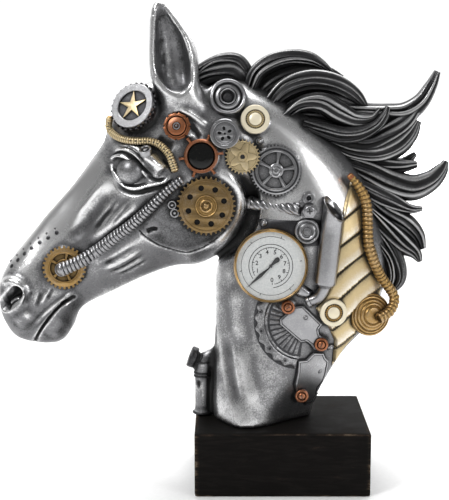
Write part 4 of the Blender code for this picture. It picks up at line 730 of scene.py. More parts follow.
def spots_tree():
    """Copies of one item on the points of a mesh, each turned to the point's own facing."""
    tree, sockets, given = new_tree("copies_on_spots", {
        "Geometry": "Geometry", "Item": "Object", "Finish": "Material",
    })
    facing, size = (
        wired(tree, "GeometryNodeInputNamedAttribute", {"Name": name}, data_type=kind).outputs["Attribute"]
        for name, kind in (("facing", "FLOAT_VECTOR"), ("size", "FLOAT"))
    )
    turn = wired(tree, "FunctionNodeAlignRotationToVector", {"Vector": facing}, axis="Z")
    end_tree(tree, given, given["Geometry"], turn.outputs["Rotation"], size)
    return tree, sockets


TREES = {}


def grown_by(kind, base, item_shell, finish, values=()):
    """The shell that one of the node trees makes on a base object from one item."""
    if kind not in TREES:
        TREES[kind] = {"ring": ring_tree, "path": path_tree, "spots": spots_tree}[kind]()
    tree, sockets = TREES[kind]
    item = shown("item", mesh_of("item", item_shell))
    step = base.modifiers.new("copies", "NODES")
    step.node_group = tree
    for label, value in {"Item": item, "Finish": coat(finish), **dict(values)}.items():
        step[sockets[label]] = value
    shell = shell_of(plain_mesh(base))
    bpy.data.objects.remove(item)
    return shell


def round_ring(item_shell, count, radius, finish, start=0.0, sweep=360.0):
    values = {"Count": count, "Radius": radius, "Start Angle": math.radians(start),
              "Sweep": math.radians(sweep)}
    return grown_by("ring", shown("ring", bpy.data.meshes.new("ring")), item_shell, finish, values)


def along_path(item_shell, line, sizes, count, finish):
    curve = bpy.data.curves.new("path", "CURVE")
    curve.dimensions = "3D"
    curve.twist_mode = "MINIMUM"
    way = curve.splines.new("POLY")
    way.points.add(len(line) - 1)
    for point, place, size in zip(way.points, line, sizes):
        point.co = (*place, 1)
        point.radius = size
    return grown_by("path", shown("path", curve), item_shell, finish, {"Count": count})


def on_spots(item_shell, spots, finish):
    """Copies on (place, facing, size) spots."""
    mesh = mesh_of("spots", ([s[0] for s in spots], []))
    facing = mesh.attributes.new("facing", "FLOAT_VECTOR", "POINT")
    facing.data.foreach_set("vector", [v for s in spots for v in s[1]])
    mesh.attributes.new("size", "FLOAT", "POINT").data.foreach_set("value", [s[2] for s in spots])
    return grown_by("spots", shown("spots", mesh), item_shell, finish)


# Finishes.


def finish_base(name):
    """A new material, its node tree and the inputs of its surface."""
    made = bpy.data.materials.new(name)
    made.use_nodes = True
    return made, made.node_tree, made.node_tree.nodes["Principled BSDF"].inputs


def place_on(tree):
    return tree.nodes.new("ShaderNodeTexCoord").outputs["Object"]


def noise(tree, place, scale, detail=3.0, rough=0.5, distortion=0.0):
    inputs = {"Vector": place, "Scale": scale, "Detail": detail, "Roughness": rough, "Distortion": distortion}
    return wired(tree, "ShaderNodeTexNoise", inputs).outputs[0]


def ramp(tree, factor, stops, socket):
    """Feeds a socket with colours or greys that change with a factor."""
    node = wired(tree, "ShaderNodeValToRGB", {"Fac": factor})
    colours = node.color_ramp
    colours.interpolation = "EASE"
    while len(colours.elements) < len(stops):
        colours.elements.new(0.5)
    for element, (place, colour) in zip(colours.elements, stops):
        element.position = place
        element.color = (*colour, 1) if isinstance(colour, tuple) else (colour, colour, colour, 1)
    tree.links.new(node.outputs["Color"], socket)


def bump(tree, surface, height, strength, distance):
    inputs = {"Strength": strength, "Distance": distance, "Height": height}
    tree.links.new(wired(tree, "ShaderNodeBump", inputs).outputs["Normal"], surface["Normal"])


def antique(name, dark, mid, bright, speckle=0.30, reach=0.006, relief=0.42, rough=(0.62, 0.40, 0.26),
            mottle=0.22, metal=1.0):
    """A cast metal finish: dark wash in the recesses and where pieces meet, from an ambient occlusion node and
    so partly patina and partly painted shade; bright metal on the ridges, fine speckle between. On the casting
    the relief attribute also brings painted highlight and painted shade.
    """
    made, tree, surface = finish_base(name)
    place = place_on(tree)
    # Ambient occlusion: darker in the hollows and where pieces meet, partly patina and partly painted shade.
    cavity = wired(tree, "ShaderNodeAmbientOcclusion", {"Distance": reach}, samples=8).outputs["AO"]
    fine = noise(tree, place, 820.0, 4.0, 0.76)
    broad = noise(tree, place, 60.0, 4.0, 0.55, 0.6)
    mark = wired(tree, "ShaderNodeAttribute", attribute_name="relief").outputs["Fac"]
    open_share = math_of(tree, "MULTIPLY_ADD", cavity, WASH_AND_SHADE, 0.56 - WASH_AND_SHADE)
    height = math_of(tree, "MULTIPLY_ADD", mark, relief, open_share)
    grain = math_of(tree, "MULTIPLY_ADD", fine, speckle, -speckle / 2)
    cloud = math_of(tree, "MULTIPLY_ADD", broad, mottle, -mottle / 2)
    level = math_of(tree, "ADD", math_of(tree, "ADD", height, grain), cloud, clamp=True)
    ramp(tree, level, [(0.12, dark), (0.52, mid), (0.84, bright)], surface["Base Color"])
    ramp(tree, level, list(zip((0.1, 0.5, 0.9), rough)), surface["Roughness"])
    ramp(tree, level, [(0.12, 0.35 * metal), (0.42, metal)], surface["Metallic"])
    bump(tree, surface, fine, 0.10, 0.0006)
    return made


def block_paint():
    """Matt black paint with faint brown streaks where it is rubbed."""
    made, tree, surface = finish_base("plinth_black")
    place = place_on(tree)
    stretch = wired(tree, "ShaderNodeMapping", {"Vector": place, "Scale": (14, 14, 90)})
    streak = noise(tree, stretch.outputs["Vector"], 3.0, 6.0, 0.62, 0.8)
    grain = math_of(tree, "MULTIPLY_ADD", noise(tree, place, 900.0, 3.0, 0.6), 0.16, -0.08)
    edge = wired(tree, "ShaderNodeAttribute", attribute_name="relief").outputs["Fac"]
    worn = math_of(tree, "MULTIPLY", edge, streak)
    level = math_of(tree, "MULTIPLY_ADD", worn, 0.62, math_of(tree, "ADD", streak, grain, clamp=True),
                    clamp=True)
    paint = tuple(bpy.context.scene.horse_finishes.block)
    ramp(tree, level, [(0.42, tuple(0.6 * c for c in paint)), (0.62, paint), (0.80, (0.026, 0.018, 0.013)),
                       (0.95, (0.11, 0.085, 0.06))], surface["Base Color"])
    ramp(tree, level, [(0.3, 0.60), (0.8, 0.78)], surface["Roughness"])
    surface["Specular IOR Level"].default_value = 0.06
    bump(tree, surface, level, 0.25, 0.0004)
    return made


def lens_glass():
    """Deep black enamel with a few dust specks."""
    made, tree, surface = finish_base("lens_black")
    place = place_on(tree)
    cloud = noise(tree, place, 120.0, 3.0, 0.5)
    drift = math_of(tree, "MULTIPLY_ADD", cloud, 0.12, -0.06)
    dust = math_of(tree, "ADD", noise(tree, place, 1400.0, 2.0, 0.5), drift)
    ramp(tree, dust, [(0.70, (0.004, 0.0042, 0.004)), (0.82, (0.16, 0.14, 0.10))], surface["Base Color"])
    ramp(tree, cloud, [(0.3, 0.07), (0.8, 0.16)], surface["Roughness"])
    surface["Specular IOR Level"].default_value = 0.3
    return made


def fine_paint(name, scale, colours, gloss):
    """A paint with a fine mottle in its colour and its gloss."""
    made, tree, surface = finish_base(name)
    fine = noise(tree, place_on(tree), scale, 3.0, 0.6)
    ramp(tree, fine, colours, surface["Base Color"])
    ramp(tree, fine, gloss, surface["Roughness"])
    return made


def dial_paint():
    """Off-white dial with a faint mottle."""
    return fine_paint("dial_paint", 700.0, [(0.3, (0.49, 0.51, 0.51)), (0.7, (0.58, 0.59, 0.58))],
                      [(0.3, 0.34), (0.7, 0.46)])


def ink_and_slot_shade():
    """Dark printing and the needle's dark paint; as the dark bars in the screw slots it is painted shade."""
    return fine_paint("dial_ink", 900.0, [(0.35, (0.016, 0.016, 0.017)), (0.7, (0.05, 0.05, 0.05))],
                      [(0.3, 0.35), (0.7, 0.5)])


def tones(setting, darkest, lightest):
    """Dark, middle and bright tone of a finish from its colour setting."""
    middle = tuple(getattr(bpy.context.scene.horse_finishes, setting))
    dark = tuple(channel * darkest for channel in middle)
    return dark, middle, tuple(1 - (1 - channel) * lightest for channel in middle)


FINISHES = {
    "silver": lambda: antique("antique_silver", *tones("silver", 0.04, 0.33), speckle=0.62, mottle=0.34),
    "mane": lambda: antique("mane_silver", *tones("mane", 0.05, 0.66), relief=0.30, speckle=0.34,
                            rough=(0.6, 0.42, 0.34)),
    "steel": lambda: antique("aged_steel", *tones("steel", 0.05, 0.16), reach=0.003, speckle=0.30,
                             rough=(0.5, 0.30, 0.18)),
    "dark_steel": lambda: antique("dark_steel", (0.003, 0.003, 0.0035), (0.05, 0.05, 0.053),
                                  (0.30, 0.30, 0.31), reach=0.003),
    "brass": lambda: antique("aged_brass", *tones("brass", 0.04, 0.36), reach=0.003, speckle=0.28),
    "pale_brass": lambda: antique("pale_brass", *tones("pale_brass", 0.06, 0.28), reach=0.003, speckle=0.22,
                                  metal=0.85),
    "cream": lambda: antique("cream_brass", *tones("cream", 0.12, 0.30), reach=0.0025, speckle=0.12,
                             metal=0.35),
    "bronze": lambda: antique("bronze", *tones("bronze", 0.04, 0.62), reach=0.003),
    "copper": lambda: antique("copper", *tones("copper", 0.05, 0.55), reach=0.003, speckle=0.26),
    "block": block_paint,
    "glass": lens_glass,
    "dial": dial_paint,
    "ink_and_slot_shade": ink_and_slot_shade,
}


COATS = {}


def coat(name):
    """The finish of a name, made when it's first asked for."""
    if name not in COATS:
        COATS[name] = FINISHES[name]()
    return COATS[name]

# The casting.


def section_body(sections, spans=8, points=72, squareness=2.7):
    """The body lofted through sections that are symmetric about the middle plane."""
    rows = spline([(*top, *bottom, *widths) for top, bottom, widths in sections], spans)
    share = (1 - np.cos(np.linspace(0, math.pi, points // 2 + 1))) / 2
    rings = []
    for row in rows:
        top, bottom, widths = row[0:2], row[2:4], row[4:9]
        half = spline([(w,) for w in widths], 12)[:, 0]
        half = np.interp(share, np.linspace(0, 1, len(half)), half)
        half = half * (1 - np.abs(2 * share - 1) ** squareness) ** (1 / squareness)
        line = top + np.outer(share, bottom - top)
        near = [at(x, z, -w) for (x, z), w in zip(line, half)]
        far = [at(x, z, w) for (x, z), w in zip(line[-2:0:-1], half[-2:0:-1])]
        rings.append([tuple(p) for p in near + far])
    return skin(rings)


def ring_of(count, point):
    """A ring of points from a function of the turn."""
    return [tuple(point(turn)) for turn in turns(count)]


def ear_body(side):
    """An upright leaf with a scooped front and two soft ribs in the scoop."""
    low, high = EAR_SECTIONS[0][0], EAR_SECTIONS[-1][0]
    rings = []
    for z, left, right, depth, hollow_left, hollow_right, hollow in spline(EAR_SECTIONS, 8):
        middle, half = (left + right) / 2, (right - left) / 2
        centre = EAR_DEPTH_CENTRE + EAR_LEAN * (z - low) / (high - low)

        def rim(turn):
            x, outward = middle + half * math.cos(turn), depth * math.sin(turn)
            across = (x - hollow_left) / max(hollow_right - hollow_left, 0.1)
            if outward > 0 and hollow > 0 and 0 < across < 1:
                bowl = min(1.0, 5 * across * (1 - across))
                rib = math.exp(-(((across - 0.36) / 0.07) ** 2))
                rib += 0.7 * math.exp(-(((across - 0.66) / 0.07) ** 2))
                outward -= hollow * bowl - min(hollow, 2.4) * 0.7 * rib
            return at(x, z, side * (centre + outward))

        rings.append(ring_of(96, rim))
    return skin(rings)


def along_rows(rows):
    """Each row of a flat route with its sideways direction and its share of the way."""
    for i, row in enumerate(rows):
        ahead = rows[min(i + 1, len(rows) - 1)][:2] - rows[max(i - 1, 0)][:2]
        ahead /= np.linalg.norm(ahead)
        yield row, np.array([-ahead[1], ahead[0]]), i / (len(rows) - 1)


def lock_skin(offset, thickness, route, spans=4, points=12):
    """A plain flattened sweep that narrows to its tip."""
    rings = []
    for (x, z, half), across, rise in along_rows(spline(route, spans)):
        deep = thickness * (1 - 0.72 * rise**2)

        def rim(turn):
            px, pz = np.array([x, z]) + across * half * math.cos(turn)
            return at(px, pz, -offset * (1 - 0.5 * rise) + deep * math.sin(turn))

        rings.append(ring_of(points, rim))
    return skin(rings)


def moved(shell, where):
    points, faces = shell
    return [where @ Vector(p) for p in points], faces


def bottle_shells():
    """The bottle in front of the neck: its standing part, its shoulder and its tilted cap."""
    standing, cap = (turned(of_size(UNIT, UNIT, [(0, 0), *profile, (0, profile[-1][1])]), 40)
                     for profile in (BOTTLE_PROFILE, BOTTLE_CAP_PROFILE))
    return [
        moved(standing, Matrix.Translation(at(*BOTTLE_FOOT))),
        lock_skin(0, 6, BOTTLE_SHOULDER, 4, 24),
        moved(cap, bottle_tilt()),
    ]


def eased(place, edges, rounds, amount=0.5):
    """Points moved towards the middle of their neighbours, round by round."""
    count = len(place)
    degree = np.bincount(edges.ravel(), minlength=count)[:, None]
    for _ in range(rounds):
        total = np.zeros_like(place)
        for axis in range(3):
            for a, b in ((0, 1), (1, 0)):
                total[:, axis] += np.bincount(edges[:, a], weights=place[edges[:, b], axis], minlength=count)
        place = place + amount * (total / np.maximum(degree, 1) - place)
    return place


def arrays(mesh):
    """Places, normals and edges of a mesh as arrays."""
    count = len(mesh.vertices)
    place, normal = np.zeros(count * 3, np.float32), np.zeros(count * 3, np.float32)
    mesh.vertices.foreach_get("co", place)
    mesh.vertices.foreach_get("normal", normal)
    edges = np.zeros(len(mesh.edges) * 2, np.int32)
    mesh.edges.foreach_get("vertices", edges)
    return place.reshape(-1, 3).astype(float), normal.reshape(-1, 3).astype(float), edges.reshape(-1, 2)


def put(mesh, place):
    mesh.vertices.foreach_set("co", place.astype(np.float32).ravel())
    mesh.update()


def bottle_tilt():
    """A frame on the foot of the bottle's cap, along its slope."""
    low, high = (at(*p) for p in BOTTLE_CAP_ENDS)
    return frame_towards(low, high - low, up=(0, -1, 0))


def side_view(place):
    """The (x, z) of points in the side view, in figure units."""
    return np.stack([place[:, 0] / UNIT, (place[:, 2] - at(0, 0).z) / UNIT], axis=1)


def climb(values, start, end):
    """Climbs from 0 at one value to 1 at another."""
    return np.clip((values - start) / (end - start), 0, 1)


def painted_light_and_tone(place):
    """How much lighter (+) or darker (-) the finish is by its place alone: painted highlight on the neck's
    flank and painted shadow under the mane, painted shade low on the muzzle, a darker round cheek, the painted
    highlight and shade bands, and painted shade on the bottle.
    """
    x, height = side_view(place).T
    out = np.abs(place[:, 1]) / UNIT
    # Painted highlight on the flank of the neck and painted shadow in a band just under the mane.
    crest = climb(x, -40, 0) * climb(height, 110, 180)
    shift = crest * (0.6 * climb(out, 22, 30) - 0.9 * climb(out, 21, 10))
    # Painted shade: darker towards the underside of the muzzle.
    shift -= 0.5 * (x < -165) * climb(height, 112, 67)
    from_cheek = np.hypot(x - CHEEK_CENTRE[0], height - CHEEK_CENTRE[1])
    shift -= 0.62 * climb(from_cheek, 51, 47) * climb(x, -120, -112) * (height < 200)
    # Bands of painted highlight and painted shade along the sides.
    for strength, reach, route in PAINTED_LIGHT_BANDS:
        away, _ = stroke_distance(side_view(place), route)
        shift += strength * np.clip(1 - (away / reach) ** 2, 0, 1) * np.clip(out / 8 - 0.6, 0, 1)
    # Painted shade on the bottle and on the neck round its foot.
    return shift - 0.85 * ((np.abs(x + 72) < 18) & (height < 76))


def mark_relief_and_painted_light(mesh, wide=0.0007, narrow=0.00022):
    """Stores how far each point stands over (+) or under (-) its softened surroundings, together with painted
    highlight on up-facing skin, painted shade on down-facing skin, and the painted light and tones by place.
    """
    place, normal, edges = arrays(mesh)
    soft = eased(place, edges, 6)
    softer = eased(soft, edges, 22)
    # Painted highlight where the skin faces up and painted shade where it faces down, plus painted light by
    # place.
    relief = 0.40 * normal[:, 2] + painted_light_and_tone(place)
    for base, depth in ((soft, narrow), (softer, wide)):
        relief += 0.42 * np.clip(((place - base) * normal).sum(axis=1) / depth, -1.5, 1.5)
    mark = mesh.attributes.get("relief") or mesh.attributes.new("relief", "FLOAT", "POINT")
    mark.data.foreach_set("value", np.clip(relief, -1, 1).astype(np.float32))


def nearest(points, line):
    """Distance from each point to a line of points, and where along it, from 0 to 1."""
    lengths = np.linalg.norm(np.diff(line, axis=0), axis=1)
    passed = np.concatenate([[0], np.cumsum(lengths)])
    best, share = np.full(len(points), np.inf), np.zeros(len(points))
    for k, (a, b) in enumerate(zip(line, line[1:])):
        span = b - a
        along = np.clip(((points - a) @ span) / max(span @ span, 1e-12), 0, 1)
        away = np.linalg.norm(points - a - along[:, None] * span, axis=1)
        nearer = away < best
        best[nearer] = away[nearer]
        share[nearer] = (passed[k] + along[nearer] * lengths[k]) / passed[-1]
    return best, share


def stroke_distance(points, route):
    """Distance in the side view from each (x, z) point to a stroke's route, and its share of the way along."""
    route = np.array(route, float)
    if len(route) == 1:
        return np.linalg.norm(points - route[0], axis=1), np.full(len(points), 0.5)
    return nearest(points, spline(route, 5) if len(route) > 2 else route)


def carve(mesh, strokes, strength):
    """Raises and sinks the sides of the casting along strokes that fade towards their ends."""
    place, normal, _ = arrays(mesh)
    seen = side_view(place)
    lift = np.zeros(len(place))
    for height, reach, route, *fade in strokes:
        away, share = stroke_distance(seen, route)
        near = np.clip(1 - (away / reach) ** 2, 0, 1) ** 2
        ends = fade[0] if fade else 0.3
        if ends and len(route) > 1:
            rise = np.clip(np.minimum(share, 1 - share) / ends, 0, 1)
            near = near * (0.04 + 0.96 * rise * rise * (3 - 2 * rise))
        lift += height * near
    facing = np.clip(np.abs(normal[:, 1]) * 1.6, 0, 1)
    put(mesh, place + normal * (lift * facing * UNIT * strength)[:, None])


def refine(mesh, zones):
    """Splits the faces inside round zones of the side view into four."""
    foot = at(0, 0)

    def split(work):
        edges = set()
        for face in work.faces:
            middle = face.calc_center_median()
            x, z = middle.x / UNIT, (middle.z - foot.z) / UNIT
            if any(math.hypot(x - cx, z - cz) < reach for (cx, cz), reach in zones):
                edges.update(face.edges)
        bmesh.ops.subdivide_edges(work, edges=list(edges), cuts=1, use_grid_fill=True, smooth=0.0)
        bmesh.ops.triangulate(work, faces=[f for f in work.faces if len(f.verts) > 4])

    reworked(mesh, split)


def fused(shells, voxel):
    """The shells joined into one skin by a voxel remesh, of which the largest shell is kept."""
    solid = Solid()
    for shell in shells:
        solid.add(shell, "silver")
    obj = shown("skin", reworked(mesh_of("skin", (solid.points, solid.faces)), facing_out))
    remesh = obj.modifiers.new("skin", "REMESH")
    remesh.mode = "VOXEL"
    remesh.voxel_size = voxel
    return largest_shell(plain_mesh(obj))


def thinned(mesh, most):
    """The skin with no more than this many triangles, thinned where it is flattest."""
    count = sum(len(face.vertices) - 2 for face in mesh.polygons)
    obj = shown("skin", mesh)
    obj.modifiers.new("skin", "DECIMATE").ratio = min(1.0, most / count)
    return plain_mesh(obj)


def largest_shell(mesh):
    """The mesh without any shell but the one with the most points."""
    place, _, edges = arrays(mesh)
    label = np.arange(len(place))
    while True:
        low = np.minimum(label[edges[:, 0]], label[edges[:, 1]])
        before = label.copy()
        np.minimum.at(label, edges[:, 0], low)
        np.minimum.at(label, edges[:, 1], low)
        label = label[label]
        if (label == before).all():
            break
    names, counts = np.unique(label, return_counts=True)
    loose = np.nonzero(label != names[counts.argmax()])[0]

    def drop(work):
        work.verts.ensure_lookup_table()
        bmesh.ops.delete(work, geom=[work.verts[i] for i in loose], context="VERTS")

    return reworked(mesh, drop) if len(loose) else mesh


class Ground:
    """Where pieces lie on the casting, seen square from its near side."""

    def __init__(self, mesh):
        points = [v.co.copy() for v in mesh.vertices]
        self.tree = BVHTree.FromPolygons(points, [tuple(p.vertices) for p in mesh.polygons])

    def surface(self, x, z, side=NEAR):
        found = self.tree.ray_cast(at(x, z, side * 200), Vector((0, -side, 0)))
        return found[0] if found[0] else at(x, z, side * 20)

    def normal(self, x, z, spread=2.0):
        """The facing of the casting round a point, evened out over a small patch."""
        a, b = self.surface(x - spread, z), self.surface(x + spread, z)
        c, d = self.surface(x, z - spread), self.surface(x, z + spread)
        facing = (b - a).cross(d - c).normalized()
        return -facing if facing.y > 0 else facing

    def resting(self, x, z, radius, clear):
        """Where the centre of a ball of this radius lies when it rests on the near side."""
        room = radius + clear
        out = self.surface(x, z).y - room
        for share in (0.45, 0.85):
            for k in range(8):
                reach = share * room / UNIT
                turn = math.pi * k / 4
                skin_y = self.surface(x + reach * math.cos(turn), z + reach * math.sin(turn)).y
                out = min(out, skin_y - room * math.sqrt(1 - share**2))
        place = at(x, z)
        return Vector((place.x, out, place.z))

    def draped(self, route, radius, clear=2 * SEAM, spans=4):
        """The centre line of a hose laid over the near side along a route of (x, z) points."""
        line = [self.resting(x, z, radius, clear) for x, z in spline(route, spans)]
        for _ in range(6):
            for before, point, after in zip(line, line[1:], line[2:]):
                point.y = min(point.y, (before.y + after.y) / 2)
        return line

    def patch(self, outline, step, height, depth=1.5, levels=()):
        """A sheet on the near side inside an outline. height(x, z, rim distance) is its lift in units, and
        levels are insets of the outline where its facets line up."""
        outline = np.array(outline, float)
        points, edges = [], []
        for route in [outline] + [grown(outline, -inset) for inset in levels]:
            first = len(points)
            for a, b in zip(np.array(route), np.roll(route, -1, axis=0)):
                parts = max(1, round(np.linalg.norm(b - a) / step))
                points.extend(tuple(a + (b - a) * k / parts) for k in range(parts))
            count = len(points) - first
            edges += [(first + k, first + (k + 1) % count) for k in range(count)]
        loop = np.vstack([outline, outline[:1]])
        low, high = outline.min(axis=0), outline.max(axis=0)
        grid = np.array([
            (x, z)
            for row, z in enumerate(np.arange(low[1] + step / 2, high[1], step))
            for x in np.arange(low[0] + step / 2 * (1 + row % 2), high[0], step)
        ])
        keep = inside(grid, outline) & (nearest(grid, loop)[0] > step * 0.6)
        points += [tuple(p) for p in grid[keep]]
        flat, _, triangles = delaunay_2d_cdt([Vector(p) for p in points], edges, [], 1, 1e-5)[:3]
        flat = np.array([tuple(p) for p in flat])
        middles = flat[np.array(triangles)].mean(axis=1)
        triangles = [t for t, ok in zip(triangles, inside(middles, outline)) if ok]
        used = sorted({i for t in triangles for i in t})
        new = {old: k for k, old in enumerate(used)}
        triangles = [tuple(new[i] for i in t) for t in triangles]
        flat = flat[used]
        over, under = [], []
        for (x, z), rim in zip(flat, nearest(flat, loop)[0]):
            place, facing = self.surface(x, z), self.normal(x, z)
            over.append(place + facing * height(x, z, rim) * UNIT)
            under.append(place - facing * depth * UNIT)
        count = len(over)
        faces = triangles + [tuple(count + i for i in t[::-1]) for t in triangles]
        faces += [(b, a, count + a, count + b) for a, b in boundary(triangles)]
        return over + under, faces


def inside(points, outline):
    odd = np.zeros(len(points), bool)
    for (ax, az), (bx, bz) in zip(outline, np.roll(outline, -1, axis=0)):
        if az == bz:
            continue
        crosses = (az > points[:, 1]) != (bz > points[:, 1])
        odd ^= crosses & (points[:, 0] < ax + (points[:, 1] - az) * (bx - ax) / (bz - az))
    return odd


def boundary(triangles):
    """The directed edges that only one triangle has."""
    edges = {}
    for tri in triangles:
        for a, b in zip(tri, tri[1:] + tri[:1]):
            if (b, a) in edges:
                del edges[(b, a)]
            else:
                edges[(a, b)] = True
    return list(edges)


def grown(outline, margin):
    """The outline pushed out by a margin, corner by corner."""
    outline = np.array(outline, float)
    before, after = np.roll(outline, 1, axis=0), np.roll(outline, -1, axis=0)
    area = np.sum(outline[:, 0] * after[:, 1] - after[:, 0] * outline[:, 1])
    turn = 1 if area > 0 else -1
    out = []
    for a, p, b in zip(before, outline, after):
        first, second = (p - a) / np.linalg.norm(p - a), (b - p) / np.linalg.norm(b - p)
        one, two = np.array([first[1], -first[0]]), np.array([second[1], -second[0]])
        out.append(tuple(p + turn * margin * (one + two) / max(0.5, 1 + one @ two)))
    return out


BUILT = {}


def plateau(height, low, width):
    """The lift of a flat sheet that drops to a share of its height at the rim."""
    return lambda x, z, rim: height * min(1.0, low + rim / width)


def build_casting(look):
    """Head, neck, ears and bottle in one skin, carved, with a boss under each round piece."""
    shells = [section_body(HEAD_SECTIONS), section_body(NECK_SECTIONS), ear_body(NEAR), ear_body(FAR)]
    form = fused(shells + bottle_shells(), look.voxel)
    place, _, edges = arrays(form)
    put(form, eased(place, edges, 2))
    carve(form, BROAD_CARVING, look.carving)
    BUILT["ground"] = Ground(form)
    bosses = []
    for node, share in SEATED.items():
        back, radius, _ = measured(node)
        bosses.append(moved(turned(drum(radius * share, -0.012, -SEAM), 48), back))
    form = fused([shell_of(form)] + bosses, look.voxel)
    place, _, edges = arrays(form)
    x, height = side_view(place).T
    share = np.clip(1.7 - np.hypot((x - EAR_ROOT[0]) * 0.5, height - EAR_ROOT[1]) / 9, 0, 1)[:, None]
    put(form, place * (1 - share) + eased(place, edges, 50) * share)
    refine(form, FINE_ZONES)
    carve(form, FINE_CARVING, look.carving)
    form = thinned(form, MOST_TRIANGLES)
    place, _, _ = arrays(form)
    for node in SEATED:
        back, radius, _ = measured(node)
        local = np.array(back.inverted())
        off = place @ local[:3, :3].T + local[:3, 3]
        over = (np.hypot(off[:, 0], off[:, 1]) < radius * 0.99) & (off[:, 2] > -SEAM) & (off[:, 2] < 0.02)
        place[over] -= np.outer(off[over, 2] + SEAM, np.array(back)[:3, 2])
    place[:, 0] = np.maximum(place[:, 0], CAD_BOX[0][0] + INSET)
    put(form, place)
    mark_relief_and_painted_light(form)
    form.name = "horse_head_cast"
    form.materials.append(coat("silver"))
    form.shade_smooth()
    placed("horse_head_cast", form, "horse_head")
    eyes = Solid()
    for side in (NEAR, FAR):
        centre = Matrix.Translation(at(*EYE_CENTRE, side * EYE_DEPTH))
        ball = reworked(bpy.data.meshes.new("eyeball"), lambda work: bmesh.ops.create_uvsphere(
            work, u_segments=48, v_segments=32, radius=EYE_RADIUS * UNIT, matrix=centre))
        eyes.add(shell_of(ball), "silver")
    eyes.piece("eyeballs", None, "antique_silver", smooth=180)


# The mane.


def strand_shell(offset, thickness, route, seed, share, look):
    """One bundle of a lock: a flattened sweep with parallel ridges running along it, and its relief."""
    rng = np.random.default_rng(seed)
    ridges = look.ridges
    drift = rng.uniform(-0.9, 0.9)
    phase = rng.uniform(0, 2 * math.pi, 4)
    wander = rng.uniform(0.5, 1.1)
    rings, relief = [], []
    for (x, z, half), across, rise in along_rows(spline(route, 9)):
        deep = thickness * (1 - 0.72 * rise**2)
        shift = share * half * 0.52
        wave = wander * math.sin(phase[0] + rise * 7) * (1 - rise)
        width = half * (0.56 + 0.06 * math.sin(phase[1] + 5 * rise))

        def rim(turn):
            fine = abs(math.sin(turn * ridges / 2 + drift * rise * 3 + phase[2])) ** 1.1
            coarse = abs(math.sin(turn * 1.5 + phase[3] + drift * rise)) ** 0.7
            groove = (1 - fine) * look.groove * 0.55 + (1 - coarse) * look.groove * 0.8
            size = 1 - min(groove / max(width * UNIT, 0.0024), 0.34) * (1 - rise**3)
            relief.append(max(-1.0, min(1.0, 1.9 * fine - 1.0 - (1 - coarse) * 0.9)))
            px, pz = np.array([x, z]) + across * (shift + wave + width * size * math.cos(turn))
            y = -offset * (1 - 0.5 * rise) + deep * (0.92 - 0.16 * abs(share)) * size * math.sin(turn)
            place = at(px, pz, y - share * 0.8)
            return min(place.x, CAD_BOX[1][0] - INSET), place.y, place.z

        rings.append(ring_of(ridges * 8, rim))
    return skin(rings), relief + [0.0, 0.0]


def build_mane(look):
    """The locks of each group, three bundles a lock."""
    seed = 11
    for group, locks in MANE_LOCKS.items():
        solid = Solid()
        for offset, thickness, route in locks.values():
            for share in (-1, 0, 1):
                seed += 1
                shell, relief = strand_shell(offset, thickness, route, seed, share, look)
                solid.add(shell, "mane", relief=relief)
        solid.piece(f"mane_{group}", None, "antique_silver", smooth=70)


# Dressing: gears, washers and caps.


def tooth(reach, base, tip, low, high, sink=0.0012):
    """A gear tooth that points along +X, with its root sunk into the rim."""
    points = []
    for z in (low, high):
        points += [(-sink, -base / 2, z), (reach, -tip / 2, z), (reach, tip / 2, z), (-sink, base / 2, z)]
    return points, [(3, 2, 1, 0), (4, 5, 6, 7), (0, 1, 5, 4), (1, 2, 6, 5), (2, 3, 7, 6), (3, 0, 4, 7)]


def toothed_rim(solid, finish, where, radius, count, reach, low, high, fill=0.62, tip=0.25, start=0.0):
    """A ring of teeth whose tips stand at the radius."""
    pitch = 2 * math.pi * radius / count
    item = tooth(reach, pitch * fill, pitch * tip, low, high)
    solid.add(round_ring(item, count, radius - reach, finish, start), finish, where)


def ring_on(solid, finish, where, profile, segments=72, soft=0.00025):
    """A turned solid on a frame, its corners softened."""
    solid.add(turned(rounded(profile, soft), segments), finish, where)


def hollow_ring(solid, finish, where, inner, outer, low, high, segments=72, soft=0.0003):
    """A ring of rectangular section on a frame, its corners softened."""
    loop = [(outer, low), (outer, high), (inner, high), (inner, low)]
    ring = rounded([loop[-1], *loop, loop[0]], soft)[1:-1]
    solid.add(turned_ring(ring, segments), finish, where)


